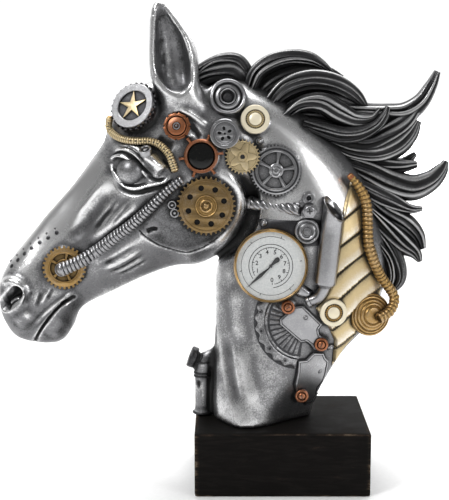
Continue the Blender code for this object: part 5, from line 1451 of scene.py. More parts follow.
def build_gears(look):
    """The star gear, and the gears of the muzzle, the cheek and the temple."""
    # Forehead gear: a dark toothed wheel under a silver ring, with a star in its dish.
    back, r, h = measured("star_gear")
    solid = Solid()
    ring_on(solid, "dark_steel", back, drum(r * 0.90, -0.003, h * 0.62))
    toothed_rim(solid, "dark_steel", back, r, look.teeth_forehead, r * 0.12, h * 0.06, h * 0.60)
    hollow_ring(solid, "steel", back, r * 0.62, r * 0.91, h * 0.3, h, 96, 0.0006)
    ring_on(solid, "dark_steel", back, drum(r * 0.65, h * 0.2, h * 0.68))
    solid.piece("forehead_gear", "star_gear", "steel")
    solid = Solid()
    outline = [polar(r * (0.19 if k % 2 else 0.635), math.radians(97 + 36 * k)) for k in range(10)]
    solid.add(plate([outline], h * 0.26, 0.0004), "pale_brass", raised(back, h * 0.68))
    solid.piece("forehead_star", "star", "pale_brass", smooth=30)

    # Muzzle gear: five spokes over a dull floor.
    back, r, h = measured("muzzle_gear")
    solid = Solid()
    ring_on(solid, "bronze", back, drum(r * 0.86, -0.003, h * 0.42))
    windows = [band(r * 0.36, r * 0.68, start, start + 60) for start in (72 * (k + 0.17) for k in range(5))]
    solid.add(plate([circle(r * 0.89, 96)] + windows, h * 0.62, 0.0003), "brass", raised(back, h * 0.34))
    toothed_rim(solid, "brass", back, r, look.teeth_muzzle, r * 0.125, h * 0.30, h * 0.90, 0.66, 0.38)
    hollow_ring(solid, "brass", back, r * 0.64, r * 0.70, h * 0.5, h * 1.08)
    hollow_ring(solid, "brass", back, r * 0.25, r * 0.40, h * 0.5, h * 1.12, 64, 0.0004)
    ring_on(solid, "bronze", back, drum(r * 0.27, h * 0.2, h * 0.9))
    solid.piece("muzzle_gear_cast", "muzzle_gear", "aged_brass")

    # Cheek gear: eight holes round a stepped hub.
    back, r, h = measured("cheek_gear")
    h = h * 0.56
    solid = Solid()
    # Dark floor seen through the eight holes: painted shade.
    ring_on(solid, "dark_steel", back, drum(r * 0.80, -0.003, h * 0.30))
    holes = [circle(r * 0.098, 18, polar(r * 0.625, 2 * math.pi * (k + 0.35) / 8)) for k in range(8)]
    solid.add(plate([circle(r * 0.915, 108)] + holes, h * 0.72, 0.0003), "bronze", raised(back, h * 0.28))
    toothed_rim(solid, "bronze", back, r, look.teeth_cheek, r * 0.105, h * 0.10, h * 0.92, 0.80, 0.16)
    hollow_ring(solid, "bronze", back, r * 0.815, r * 0.865, h * 0.6, h * 1.07, 108, 0.00025)
    steps = [(r * share, h + lift * UNIT) for share, lift in CHEEK_HUB]
    ring_on(solid, "brass", back, [(0, h * 0.4), (r * 0.37, h * 0.4)] + steps, 72, 0.0002)
    solid.piece("cheek_gear_cast", "cheek_gear", "aged_brass")

    # Spoked gear at the temple.
    back, r, h = measured("spoked_gear")
    solid = Solid()
    ring_on(solid, "silver", back, drum(r * 0.80, -0.003, h * 0.18))
    windows = [band(r * 0.27, r * 0.70, start, start + 59) for start in range(16, 376, 72)]
    solid.add(plate([circle(r * 0.93, 108)] + windows, h * 0.60, 0.0003), "steel", raised(back, h * 0.30))
    toothed_rim(solid, "steel", back, r, look.teeth_spoked, r * 0.085, h * 0.18, h * 0.80, 0.52, 0.34)
    hollow_ring(solid, "steel", back, r * 0.70, r * 0.75, h * 0.6, h * 1.04, 96)
    hollow_ring(solid, "dark_steel", back, r * 0.80, r * 0.875, h * 0.6, h * 0.925, 96, 0.0001)
    spoke = of_size(r, r, [(0.22, -0.045), (0.72, -0.03), (0.72, 0.03), (0.22, 0.045)])
    spokes = round_ring(plate([spoke], h * 0.5, 0.0003), 5, 0.0, "steel", 9.5)
    solid.add(spokes, "steel", raised(back, h * 0.56))
    ring_on(solid, "steel", back, of_size(r, h, SPOKED_HUB), 48, 0.0002)
    solid.piece("spoked_gear_cast", "spoked_gear", "steel")

    # Pale gear half under the vent disc, with a curved five-pointed web.
    back, r, h = measured("temple_gear")
    solid = Solid()
    ring_on(solid, "pale_brass", back, drum(r * 0.88, -0.002, h * 0.74))
    toothed_rim(solid, "pale_brass", back, r, look.teeth_temple, r * 0.13, h * 0.12, h * 0.74, 0.85, 0.10)
    web = [polar(r * (0.40 + 0.42 * abs(math.cos(2.5 * turn)) ** 2.2), turn) for turn in turns(60)]
    solid.add(plate([web], h * 0.34, 0.00025), "pale_brass", raised(back, h * 0.62))
    hollow_ring(solid, "pale_brass", back, r * 0.13, r * 0.27, h * 0.4, h * 1.15, 48)
    hollow_ring(solid, "pale_brass", back, r * 0.80, r * 0.86, h * 0.4, h * 0.9, 72, 0.0002)
    # Dark filling in the hub's bore: painted shade.
    ring_on(solid, "dark_steel", back, drum(r * 0.15, h * 0.3, h * 0.99))
    solid.piece("temple_gear_cast", "temple_gear", "pale_brass")


def build_washers():
    """Washers, discs, the copper cap and the copper bolts."""
    # Stepped washer below the ear.
    back, r, h = measured("poll_washer")
    solid = Solid()
    ring_on(solid, "steel", back, [(0, -0.003), (r * 0.97, -0.003)] + of_size(r, h, POLL_WASHER), 84, 0.0002)
    ring_on(solid, "dark_steel", back, of_size(r, h, POLL_MIDDLE))
    hollow_ring(solid, "dark_steel", back, r * 0.725, r * 0.765, h * 0.3, h * 0.57, 84, 0.0001)
    solid.piece("poll_washer_cast", "poll_washer", "steel")

    # Small disc with five oval vents round its middle.
    back, r, h = measured("vent_disc")
    solid = Solid()
    # Dark floor seen through the vents and the middle hole: painted shade.
    ring_on(solid, "dark_steel", back, drum(r * 0.80, -0.003, h * 0.3))
    hollow_ring(solid, "steel", back, r * 0.76, r, -0.001, h, 72, 0.0006)
    outlines = [circle(r * 0.78, 72), circle(r * 0.075, 12)]
    for k in range(5):
        turn = 2 * math.pi * k / 5 + 0.5
        where = Matrix.Rotation(turn, 4, "Z") @ Matrix.Translation((r * 0.36, 0, 0))
        outlines.append([(where @ Vector((1.35 * x, y, 0)))[:2] for x, y in circle(r * 0.105, 14)])
    solid.add(plate(outlines, h * 0.36, 0.0002), "steel", raised(back, h * 0.36))
    hollow_ring(solid, "steel", back, r * 0.60, r * 0.645, h * 0.4, h * 0.80, 64, 0.0002)
    solid.piece("vent_disc_cast", "vent_disc", "steel")

    for node, edge, notches in (("temple_washer", "pale_brass", 26), ("neck_washer", "brass", 22)):
        back, r, h = measured(node)
        solid = Solid()
        ring_on(solid, edge, back, drum(r * 0.72, -0.002, h * 0.55))
        hollow_ring(solid, "cream", back, r * 0.67, r, -0.001, h * 0.98, 84, 0.0005)
        item = tooth(r * 0.06, r * 0.085, r * 0.07, h * 0.3, h * 0.86)
        solid.add(round_ring(item, notches, r * 0.565, edge, 3.0), edge, back)
        hollow_ring(solid, edge, back, r * 0.50, r * 0.575, h * 0.3, h * 0.95, 64)
        button = of_size(r, h, [(0, 0), (0.47, 0), (0.47, 0.80), (0.40, 1.0), (0.22, 1.13), (0, 1.17)])
        ring_on(solid, "cream", back, button, 48, 0.0003)
        solid.piece(f"{node}_cast", node, "pale_brass")

    # Octagonal copper cap with a notched rim.
    back, r, h = measured("cap_nut")
    solid = Solid()
    corner = ((-17, 0.955), (-4.5, 1.0), (-3.2, 0.90), (3.2, 0.90), (4.5, 1.0), (17, 0.955))
    outline = [polar(r * reach, math.radians(45 * k) + math.radians(off))
               for k in range(8) for off, reach in corner]
    solid.add(plate([outline], h * 0.62, 0.0005), "copper", raised(back, -0.0004))
    hollow_ring(solid, "copper", back, r * 0.73, r * 0.80, h * 0.3, h * 0.82)
    crown = [(0, 0), (0.68, 0), (0.68, 0.70), (0.62, 0.90), (0.30, 0.94), (0.28, 0.80), (0, 0.80)]
    ring_on(solid, "copper", back, of_size(r, h, crown), 64, 0.0003)
    hollow_ring(solid, "steel", back, r * 0.17, r * 0.26, h * 0.5, h * 0.99, 36)
    ring_on(solid, "steel", back, of_size(r, h, [(0, 0.3), (0.09, 0.3), (0.09, 0.95), (0, 1.0)]), 24, 0.0002)
    solid.piece("cap_nut_cast", "cap_nut", "copper")

    # Round stepped disc under the rod's nut.
    back, r, h = measured("spring_disc")
    solid = Solid()
    ring_on(solid, "steel", back, [(0, -0.003), (r, -0.003)] + of_size(r, h, SPRING_DISC), 64, 0.0002)
    for share in (0.10, 0.18, 0.26):
        solid.add(bead_ring(r * share, h * 0.97, 0.0003, 32, 6), "steel", back)
    solid.piece("spring_disc_cast", "spring_disc", "steel")

    for k in (1, 2, 3):
        node = f"copper_bolt_{k}"
        back, r, h = measured(node)
        solid = Solid()
        ring_on(solid, "copper", back, [(0, -0.002), (r, -0.002)] + of_size(r, h, COPPER_BOLT), 48, 0.0002)
        # A dark bar across the bolt's head: painted shade in its slot.
        lie = raised(back, h * 0.965) @ Matrix.Rotation(0.6 * k, 4, "Z")
        solid.add(plate([oblong(r * 0.68, r * 0.11)], h * 0.05, 0.00005), "ink_and_slot_shade", lie)
        solid.piece(f"{node}_cast", node, "copper")


def build_lens():
    """The black lens in its copper ring with six pegs."""
    back, r_out, h = measured("lens_ring")
    glass = measured("lens")[1]
    r = glass + 0.0027
    solid = Solid()
    hollow_ring(solid, "copper", back, glass + 0.0002, r, -0.001, h, 84, 0.0008)
    hollow_ring(solid, "copper", back, glass + 0.0004, r - 0.0010, h * 0.8, h * 1.10, 84, 0.0002)
    outwards = Matrix.Translation((0, 0, h * 0.52)) @ Matrix.Rotation(math.radians(90), 4, "Y")
    for thick, length, soft, foot in ((0.00105, r_out - r + 0.0016, 0.0004, r - 0.0017),
                                      (0.0015, 0.0011, 0.0003, r_out - 0.0012)):
        peg = moved(turned(rounded(drum(thick, 0, length), soft), 14), outwards)
        solid.add(round_ring(peg, 6, foot, "copper", 8.0), "copper", back)
    solid.piece("lens_ring_cast", "lens_ring", "copper")
    solid = Solid()
    dome = [(0, 0), (1, 0), (1, 0.52), (0.9, 0.66), (0.7, 0.80), (0.4, 0.90), (0, 0.94)]
    ring_on(solid, "glass", back, of_size(glass, h, dome), 72, 0.0001)
    solid.piece("lens_glass", "lens", "lens_black", smooth=60)


# The pressure gauge.


def digit_shell(digit, size, thickness):
    """A printed numeral, middle on the origin."""
    text = bpy.data.curves.new("digit", "FONT")
    text.body = digit
    text.size = size
    text.offset = size / 82.5
    text.align_x = "CENTER"
    text.align_y = "CENTER"
    text.extrude = thickness / 2
    text.resolution_u = 3
    return shell_of(reworked(plain_mesh(shown("digit", text)),
                             lambda work: bmesh.ops.remove_doubles(work, verts=work.verts, dist=MERGE)))


def build_gauge():
    """The pressure gauge: its rim, its printed dial and its needle."""
    back, r, h = measured("gauge_bezel")
    face = measured("gauge_dial")[2]
    solid = Solid()
    loop = [(r - 0.0002, -0.002), *of_size(r, h, GAUGE_RIM), (r * 0.926, -0.002)]
    solid.add(turned_ring(loop, 128), "brass", back)
    solid.add(bead_ring(r * 0.992, h * 0.52, 0.00045, 128, 8), "brass", back)
    solid.piece("gauge_rim", "gauge_bezel", "aged_brass")

    solid = Solid()
    inner = r - r * 0.075
    ring_on(solid, "dial", back, drum(inner, -0.001, face), 128, 0.0001)
    hollow_ring(solid, "dial", back, r * 0.905, inner + 0.0002, face - 0.001, face + 0.0006, 128, 0.0002)
    print_high = 0.00042
    marks = raised(back, face - 0.0003)
    for inside_line, outside_line, start, end in ((0.793, 0.805, 62, 322), (0.584, 0.602, -83, 216),
                                                  (0.497, 0.512, -78, 212)):
        line = band(r * inside_line, r * outside_line, start, end, 48)
        solid.add(plate([line], print_high, 0.00003), "ink_and_slot_shade", marks)
    long_tick, short_tick = (
        plate([of_size(r, r, [(0, -half), (length, -half), (length, half), (0, half)])], print_high, soft)
        for length, half, soft in ((0.062, 0.009, 0.00003), (0.03, 0.0035, 0.00002))
    )
    for tick, count, reach, start, sweep in ((long_tick, 6, 0.79, 10.0, 360.0),
                                             (long_tick, 10, 0.452, 200.0, -316.7),
                                             (short_tick, 37, 0.474, 200.0, -293.0)):
        solid.add(round_ring(tick, count, r * reach, "ink_and_slot_shade", start, sweep), "ink_and_slot_shade", marks)
    for k, digit in enumerate("1234567890"):
        place = Matrix.Translation(polar(r * 0.385, math.radians(200 - 31.67 * k), print_high / 2))
        solid.add(digit_shell(digit, r * 0.165, print_high), "ink_and_slot_shade", marks @ place)
    solid.piece("gauge_face", "gauge_dial", "dial_white", smooth=30)

    solid = Solid()
    solid.add(plate([of_size(r, r, NEEDLE)[::-1]], 0.0008, 0.0002), "ink_and_slot_shade", raised(back, face + 0.0002))
    hub = [(0, face - 0.0005), (r * 0.045, face - 0.0005), (r * 0.045, face + 0.0012),
           (r * 0.02, face + 0.0016), (0, face + 0.0017)]
    ring_on(solid, "ink_and_slot_shade", back, hub, 24, 0.0002)
    solid.piece("gauge_needle_cast", "gauge_needle", "needle_black", smooth=30)


# The twisted rod and the exhaust pipe.


def build_rod(look):
    """The twisted rod with its knob and nut, and the tab beside it."""
    ground = BUILT["ground"]
    reach, lobes, steps = 0.0052, 5, 90
    facing = Vector((0, -1, 0))
    foot, head = (ground.surface(x, z) + facing * reach * 0.45 for x, z in ROD_ENDS)
    where = frame_towards(foot, head - foot, up=(0, -1, 0))
    length = (head - foot).length
    solid = Solid()
    rings = []
    for share in (i / steps for i in range(steps + 1)):

        def flute(turn):
            fluted = abs(math.sin(lobes / 2 * (turn - share * look.rod_turns * 2 * math.pi)))
            size = reach * (0.80 + 0.24 * fluted**0.8)
            return where @ Vector(polar(size, turn, length * (0.03 + 0.92 * share)))

        rings.append(ring_of(60, flute))
    solid.add(skin(rings), "steel")
    knob = [(0, -0.0035), (reach * 0.72, -0.0035), (reach * 1.12, -0.001), (reach * 1.16, 0.0022),
            (reach * 0.95, 0.003), (0, 0.003)]
    ring_on(solid, "steel", where, knob, 40, 0.0004)
    nut = frame_towards(head + Vector((0.0045, 0.004, -0.0005)), facing)
    solid.add(plate([circle(0.0060, 6)], reach + 0.0075, 0.0004), "steel", raised(nut, -0.004))
    top = reach + 0.0036
    cap = [(0, top - 0.002), (0.0042, top - 0.002), (0.0042, top + 0.0004), (0.0034, top + 0.0008),
           (0, top + 0.0009)]
    ring_on(solid, "steel", nut, cap, 36, 0.0002)
    # Two dark bars across the nut's cap: painted shade in its cross slot.
    for turn in (6, 96):
        mark = raised(nut, top + 0.00055) @ Matrix.Rotation(math.radians(turn), 4, "Z")
        solid.add(plate([oblong(0.0044, 0.00084)], 0.0006, 0.0001), "ink_and_slot_shade", mark)
    solid.piece("twisted_rod_cast", "twisted_rod", "steel")

    # The tab with a hole that holds the nut's end, and its arm.
    lie = frame_towards(ground.surface(*ROD_TAB) + facing * 0.0002, ground.normal(*ROD_TAB))
    solid = Solid()
    solid.add(plate([circle(0.0052, 40), circle(0.0019, 20)], 0.0032, 0.0005), "steel", raised(lie, -0.001))
    hollow_ring(solid, "steel", lie, 0.0020, 0.0032, 0.001, 0.0028, 36)
    # Dark filling in the tab's hole: painted shade.
    ring_on(solid, "dark_steel", lie, drum(0.0021, -0.001, 0.0012), 24)
    arm = [(0.0026, -0.0044), (-0.0042, -0.0078), (-0.0095, -0.0062), (-0.0046, -0.0002)]
    solid.add(plate([arm], 0.0026, 0.0005), "steel", raised(lie, -0.001))
    solid.piece("rod_tab", None, "steel")


def build_pipe():
    """The exhaust pipe with its slanted mouth, and its elbow."""
    ground = BUILT["ground"]
    radius = 0.0086
    foot = ground.surface(*PIPE_FOOT) - Vector((0, radius * 0.55, 0))
    head = ground.surface(*PIPE_HEAD) - Vector((0, radius * 0.95, 0))
    along = (head - foot).normalized()
    length = (head - foot).length
    where = frame_towards(foot, along, up=(0, -1, 0))
    cut = where.inverted() @ (head - along * 0.006)
    slope = where.to_3x3().inverted() @ Vector(PIPE_MOUTH_FACING).normalized()

    def level(size, height):
        return ring_of(72, lambda turn: where @ Vector(polar(size * radius, turn, height)))

    def slanted(size, lift):
        def rim(turn):
            x, y = polar(size * radius, turn)
            fall = ((x - cut.x) * slope.x + (y - cut.y) * slope.y) / slope.z
            return where @ Vector((x, y, cut.z - fall + lift))

        return ring_of(72, rim)

    rings = [level(size, share * length) for share, size in
             ((0.0, 0.55), (0.0, 0.90), (0.012, 0.985), (0.03, 1.0), (0.2, 1.0), (0.4, 1.0), (0.6, 1.0))]
    rings += [slanted(size, lift) for size, lift in
              ((1.0, -0.0022), (1.035, -0.0014), (1.045, -0.0005), (1.0, 0.0), (0.92, 0.0), (0.875, -0.0005),
               (0.86, -0.002))]
    rings += [level(size, share * length) for size, share in ((0.85, 0.66), (0.85, 0.56), (0.4, 0.55))]
    solid = Solid()
    solid.add(skin(rings), "steel")
    # Dark lining inside the mouth: painted shade in the bore.
    solid.add(skin([level(0.855, 0.5 * length), slanted(0.855, -0.0042)]), "dark_steel")
    elbow = [foot + along * 0.006, foot - along * 0.002]
    elbow += [ground.surface(x, z) - Vector((0, lift * UNIT, 0)) for x, z, lift in ELBOW_ROUTE]
    solid.add(tube(elbow, [0.0046, 0.0046, 0.0046, 0.0044], 32, 8), "steel")
    collar = frame_towards(foot - along * 0.0002, along, up=(0, -1, 0))
    hollow_ring(solid, "steel", collar, 0.004, 0.0060, -0.0016, 0.0010, 48, 0.0004)
    end = frame_towards(elbow[-1], elbow[-2] - elbow[-1], up=(0, -1, 0))
    hollow_ring(solid, "steel", end, 0.0035, 0.0054, -0.0008, 0.0018, 48, 0.0004)
    solid.piece("exhaust_pipe_cast", "exhaust_pipe", "steel", smooth=40)


# The hoses.


def rib(radius, width, proud):
    """One rounded rib of a hose, its Z along the hose."""
    half = width / 2
    loop = [(radius * 0.80, -half), (radius, -half), (radius + proud * 0.8, -half * 0.55),
            (radius + proud, 0), (radius + proud * 0.8, half * 0.55), (radius, half), (radius * 0.80, half)]
    return turned_ring(loop, 20)


def ribbed(line, radii, finish, core, count, width, proud):
    """A hose: a smooth core with separate ribs along it."""
    solid = Solid()
    solid.add(tube(line, [r * 0.90 for r in radii], 24), core)
    mean = sum(radii) / len(radii)
    item = rib(mean * 0.93, width, proud)
    solid.add(along_path(item, line, [r / mean for r in radii], count, finish), finish)
    return solid


def finer(line, steps):
    return [Vector(p) for p in spline([tuple(p) for p in line], steps)]


def end_frame(line, step):
    """A frame on the first point of a line, or on its last for a step of -1, that faces along it."""
    first = 0 if step > 0 else len(line) - 1
    return frame_towards(line[first], line[first + step] - line[first], up=(0, -1, 0))


def build_hoses(look):
    """The hoses of the muzzle, the brow and the neck, and the disc that the last one runs into."""
    ground = BUILT["ground"]
    back, gear_r, gear_h = measured("muzzle_gear")
    radius, swell = 0.0034, 1.6
    line = ground.draped(MUZZLE_HOSE_ROUTE, radius * swell)
    radii = [radius * (1 + (swell - 1) * (1 - k / (len(line) - 1))) for k in range(len(line))]
    normal = back.to_3x3() @ Vector((0, 0, 1))
    for point, size in zip(line, radii):
        if (point - back.translation).length < gear_r + 2 * size:
            top = back @ Vector((0, 0, gear_h + 2 * SEAM + size))
            point.y = min(point.y, point.y + ((top - point) @ normal) / normal.y)
    line = finer(line, 2)
    radii = list(spline([(r,) for r in radii], 2)[:, 0])
    solid = ribbed(line, radii, "steel", "dark_steel", look.ribs_muzzle, 0.0027, 0.00075)
    side = frame_towards(back.translation, normal)
    off = side.inverted() @ line[0]
    side = side @ Matrix.Translation((off.x, off.y, 0))
    profile = [(0, gear_h * 0.6), (0.0058, gear_h * 0.6), (0.0058, gear_h + 0.002), (0.0050, gear_h + 0.0026),
               (0.0050, off.z - 0.001), (0.0040, off.z + 0.002), (0.0022, off.z + 0.0042),
               (0, off.z + 0.0047)]
    ring_on(solid, "steel", side, profile, 40, 0.0004)
    for lift in (0.30, 0.52, 0.74):
        solid.add(bead_ring(0.0051, gear_h + (off.z - gear_h) * lift + 0.0008, 0.0007, 40, 8), "steel", side)
    solid.piece("muzzle_hose_cast", "muzzle_hose", "steel", smooth=60)

    radius = 0.0027
    line = finer(ground.draped(BROW_HOSE_ROUTE, radius), 2)
    solid = ribbed(line, [radius * 1.06] * len(line), "pale_brass", "brass", look.ribs_brow, 0.0019, 0.00045)
    bead = turned(rounded(drum(0.00062, -0.0004, 0.0004), 0.0001), 8)
    spots = []
    for point in line[4:-2:3]:
        out = (point - ground.surface(point.x / UNIT, (point.z - at(0, 0).z) / UNIT)).normalized()
        spots.append((point + out * radius * 1.06, out, 1.0))
    solid.add(on_spots(bead, spots, "ink_and_slot_shade"), "ink_and_slot_shade")
    stop = [(0, -0.0022), (radius * 0.7, -0.0018), (radius * 1.08, -0.0004), (radius * 1.08, 0.001),
            (0, 0.001)]
    for step in (1, -1):
        solid.add(turned(stop, 24), "brass", end_frame(line, step))
    solid.piece("brow_hose_cast", "brow_hose", "aged_brass", smooth=60)

    radius = 0.0042
    back, r, h = measured("coil_disc")
    line = ground.draped(NECK_HOSE_ROUTE, radius, 0.003, 2)
    line += [raised(back, -SEAM) @ Vector((x * UNIT, y * UNIT, z * UNIT)) for x, y, z in COIL_HOSE_ROUTE]
    line = finer(line, 4)
    radii = [radius * (0.62 + 0.38 * min(1, k / 14)) for k in range(len(line))]
    solid = ribbed(line, radii, "brass", "bronze", look.ribs_neck, 0.0026, 0.00050)
    stop = [(0, -0.0016), (radii[0] * 0.8, -0.0014), (radii[0] * 1.1, 0), (radii[0] * 1.1, 0.002), (0, 0.002)]
    solid.add(turned(stop, 24), "copper", end_frame(line, 1))
    solid.piece("neck_hose_cast", "neck_hose", "aged_brass", smooth=60)

    solid = Solid()
    ring_on(solid, "brass", back, [(0, -0.004), (r * 0.97, -0.004)] + of_size(r, h, COIL_DISC), 84, 0.0002)
    solid.piece("coil_disc_cast", "coil_disc", "aged_brass")


# The guard on the rear of the neck, and the relief of the casting.

def build_guard():
    """Curved brass plates that overlap one another in slanting rows."""
    ux, uz = SEAM_DIRECTION

    def slat(x, z):
        """How far across its slat a point lies, from 0 to 1, and its distance to the seam."""
        row = ((z - 60) * ux - (x - 40) * uz) / SEAM_PITCH
        row += 0.05 * math.sin((x * ux + z * uz) * 0.09)
        share = row - math.floor(row)
        return share, min(share, 1 - share) * SEAM_PITCH

    def lift(x, z, rim):
        share, seam = slat(x, z)
        step = 0.9 * (1 - share) + 0.15 - 1.5 * max(0.0, 1 - seam)
        return (1.75 + step) * (1 - math.exp(-((rim / 0.9) ** 2)) * 0.75)

    points, faces = BUILT["ground"].patch(NECK_GUARD, 1.1, lift, 1.0)
    # Each slat is painted lighter at its raised edge and darker towards its low edge beside the next slat's
    # raised edge, a painted highlight and painted shade; the seams are dark joints.
    marks = []
    for x, z in side_view(np.array([tuple(p) for p in points])):
        share, seam = slat(x, z)
        marks.append(-1.0 if seam < 0.9 else 0.5 - 1.1 * share)
    solid = Solid()
    solid.add((points, faces), "pale_brass", relief=marks)
    solid.piece("neck_guard_cast", "neck_guard", "pale_brass", smooth=42)


def build_relief():
    """Cover plates, brake disc, sprocket, notches, screws and the rest of the low relief."""
    ground = BUILT["ground"]

    def laid(name, sheets, finish, slot="steel", smooth=40):
        """A piece of sheets that lie on the casting."""
        solid = Solid()
        for sheet in sheets:
            solid.add(sheet, finish)
        solid.piece(name, None, slot, smooth)

    def plate_lift(x, z, rim):
        border = 0.55 if rim < 1.35 else (-0.25 if rim < 1.95 else 0.15)
        return (2.0 + border) * min(1.0, rim / 0.45)

    laid("cover_plates", [ground.patch(outline, 1.3, plate_lift, 3.0, (0.4, 1.3, 1.4, 1.9, 2.0))
                          for outline in STEEL_PLATES], "steel")

    # A dark sheet round the cover plates is the painted shadow of the gap under their edges.
    shadow_outlines = [[(min(x, 37.5), z) for x, z in grown(outline, 1.2)] for outline in STEEL_PLATES]
    laid("plate_bed", [ground.patch(shadow_outline, 2.2, lambda x, z, rim: 0.35, 2.0) for shadow_outline in shadow_outlines], "dark_steel")

    # Brake disc: a raised ring with slots inside it, and a sprocket with scalloped teeth outside.
    solid = Solid()
    cx, cz = BRAKE_CENTRE

    def round_brake(outline, lift, finish, step):
        sheet = ground.patch([(cx + x, cz + z) for x, z in outline], step, lift)
        solid.add(sheet, finish)

    for inner, outer, start, end, height, step, finish in BRAKE_RINGS:
        outline = band(inner, outer, start, end, int((end - start) / 4))
        round_brake(outline, plateau(height, 0.35, 0.5), finish, step)
    for k in range(12):
        mid = 154 + 9.2 * k
        round_brake(band(15.0, 28.6, mid - 2.9, mid + 2.9, 3), plateau(0.95, 0.4, 0.5), "silver", 1.2)
    teeth = [polar(39.4 + 1.2 * math.cos(math.radians(2 * k) * 360 / 14), math.radians(148 + 2 * k))
             for k in range(57)]
    outline = [(cx + x, cz + z) for x, z in teeth + arc(33.0, 260, 148, 28)]
    sprocket = ground.patch(outline, 1.0, plateau(1.5, 0.5, 0.5))
    solid.add(sprocket, "silver", relief=[0.1] * len(sprocket[0]))
    solid.piece("brake_disc_relief", None, "antique_silver", smooth=40)

    # Crisp rings, foot and cap of the bottle.
    solid = Solid()
    stand = Matrix.Translation(at(*BOTTLE_FOOT))
    for radius, height, thick in BOTTLE_RINGS:
        solid.add(bead_ring(radius, height, thick, 48, 8), "mane", stand)
    ring_on(solid, "mane", bottle_tilt(), BOTTLE_CAP_TOP, 48, 0.0002)
    solid.add(bead_ring(0.0058, 0.0100, 0.0008, 40, 8), "mane", bottle_tilt())
    solid.piece("bottle_rings", None, "antique_silver", smooth=50)

    # Screws, rivets and small rings, a radius of 1 before they are sized.
    screw, ring_eye = (turned(rounded(profile, 0.05), 24) for profile in (SCREW, RING_EYE))
    pit = turned([(0, -0.6), (1, -0.6), (1, 0.02), (0.6, 0.10), (0, 0.13)], 20)

    def spots(rows, shift=(0, 0)):
        """The places of (x, z, radius, lift) rows on the casting."""
        out = []
        for x, z, radius, lift in rows:
            x, z = x + shift[0], z + shift[1]
            facing = ground.normal(x, z)
            out.append((ground.surface(x, z) + facing * lift, facing, radius))
        return out

    solid = Solid()
    solid.add(on_spots(screw, spots(SCREWS), "steel"), "steel")
    solid.add(on_spots(ring_eye, spots(RINGS), "steel"), "steel")
    holes = spots([(x, z, 0.0017, 0.0014) for x, z in SPROCKET_HOLES])
    dots = spots([(x, z, 0.00085, 0.0) for x, z in NOTCHES], (-1.0, 4.0))
    solid.add(on_spots(ring_eye, holes + dots, "silver"), "silver")
    # Dark discs in the notch pits and the sprocket holes: painted shade in place of their depth.
    pits = spots([(x, z, 0.0018, 0.0) for x, z in NOTCHES], (0.4, 0.6))
    pits += spots([(x, z, 0.0010, 0.0021) for x, z in SPROCKET_HOLES])
    solid.add(on_spots(pit, pits, "dark_steel"), "dark_steel")
    solid.piece("screws_and_rings", None, "steel", smooth=40)

    # Dark plate between the rod and the gauge, and the grey block under the gauge.
    laid("backing_plate", [ground.patch(BACKING_PLATE, 1.6, plateau(0.9, 0.3, 0.6))], "dark_steel")
    block = ground.patch(GAUGE_LUG, 1.2, lambda x, z, rim: 3.4 * (1 - math.exp(-((rim / 1.8) ** 2))) + 0.2)
    laid("gauge_lug", [block], "steel", smooth=60)


def build_plinth():
    """The block with softened, slightly worn edges."""
    low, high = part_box("plinth")
    size = high - low
    round_off = 0.0016
    worn = []

    def block(work):
        bmesh.ops.create_cube(work, size=1)
        bmesh.ops.subdivide_edges(work, edges=work.edges, cuts=30, use_grid_fill=True)
        for vert in work.verts:
            place = Vector([low[k] + (vert.co[k] + 0.5) * size[k] for k in range(3)])
            inner = Vector([min(max(place[k], low[k] + round_off), high[k] - round_off) for k in range(3)])
            away = place - inner
            worn.append(1.0 if sum(abs(part) > 1e-9 for part in away) > 1 else 0.0)
            vert.co = inner + away.normalized() * round_off if away.length > 1e-9 else place

    mesh = reworked(bpy.data.meshes.new("plinth_block"), block)
    mesh.attributes.new("relief", "FLOAT", "POINT").data.foreach_set("value", worn)
    mesh.materials.append(coat("block"))
    mesh.shade_smooth()
    placed("plinth_block", mesh, "plinth")


# The stage.


def build_stage(look):
    """Pale floor, soft lights, and the camera."""
    bpy.ops.mesh.primitive_circle_add(vertices=96, radius=6.0, fill_type="NGON")
    floor = bpy.context.object
    floor.name = "floor"
    paper, tree, surface = finish_base("floor_paper")
    fine = noise(tree, place_on(tree), 260.0, 3.0, 0.6)
    ramp(tree, fine, [(0.3, (0.86, 0.86, 0.86)), (0.7, (0.89, 0.89, 0.89))], surface["Base Color"])
    surface["Roughness"].default_value = 0.7
    floor.data.materials.append(paper)

    world = bpy.data.worlds.new("studio")
    bpy.context.scene.world = world
    world.use_nodes = True
    tree = world.node_tree
    direction = tree.nodes.new("ShaderNodeTexCoord").outputs["Generated"]
    split = wired(tree, "ShaderNodeSeparateXYZ", {0: direction})
    backdrop = wired(tree, "ShaderNodeMapRange", {
        "Value": split.outputs["Y"], "From Min": -0.1, "From Max": 0.95, "To Min": look.surround,
        "To Max": 1.08,
    }, interpolation_type="SMOOTHSTEP")
    sky = tree.nodes["Background"]
    sky.inputs["Color"].default_value = (1, 1, 1, 1)
    tree.links.new(backdrop.outputs["Result"], sky.inputs["Strength"])

    for name, place, aim, size, power, spread in LAMPS:
        lamp = bpy.data.lights.new(name, "AREA")
        lamp.shape = "DISK"
        lamp.size = size
        lamp.energy = power * look.lamps
        lamp.spread = math.radians(spread)
        obj = shown(name, lamp)
        obj.location = place
        obj.rotation_euler = (Vector(aim) - obj.location).to_track_quat("-Z", "Y").to_euler()

    camera = shown("camera", bpy.data.cameras.new("camera"))
    camera.location = (-0.0475, -1.034, 0.3645)
    camera.rotation_euler = (math.radians(90 - 9.3), 0, 0)
    camera.data.lens = 90
    camera.data.sensor_width = 36
    bpy.context.scene.camera = camera
    bpy.context.scene.view_settings.view_transform = "Standard"


# Settings that a user may change.


def colour_setting(name, description, default):
    return FloatVectorProperty(name=name, description=description, subtype="COLOR", default=default, min=0,
                               max=1)


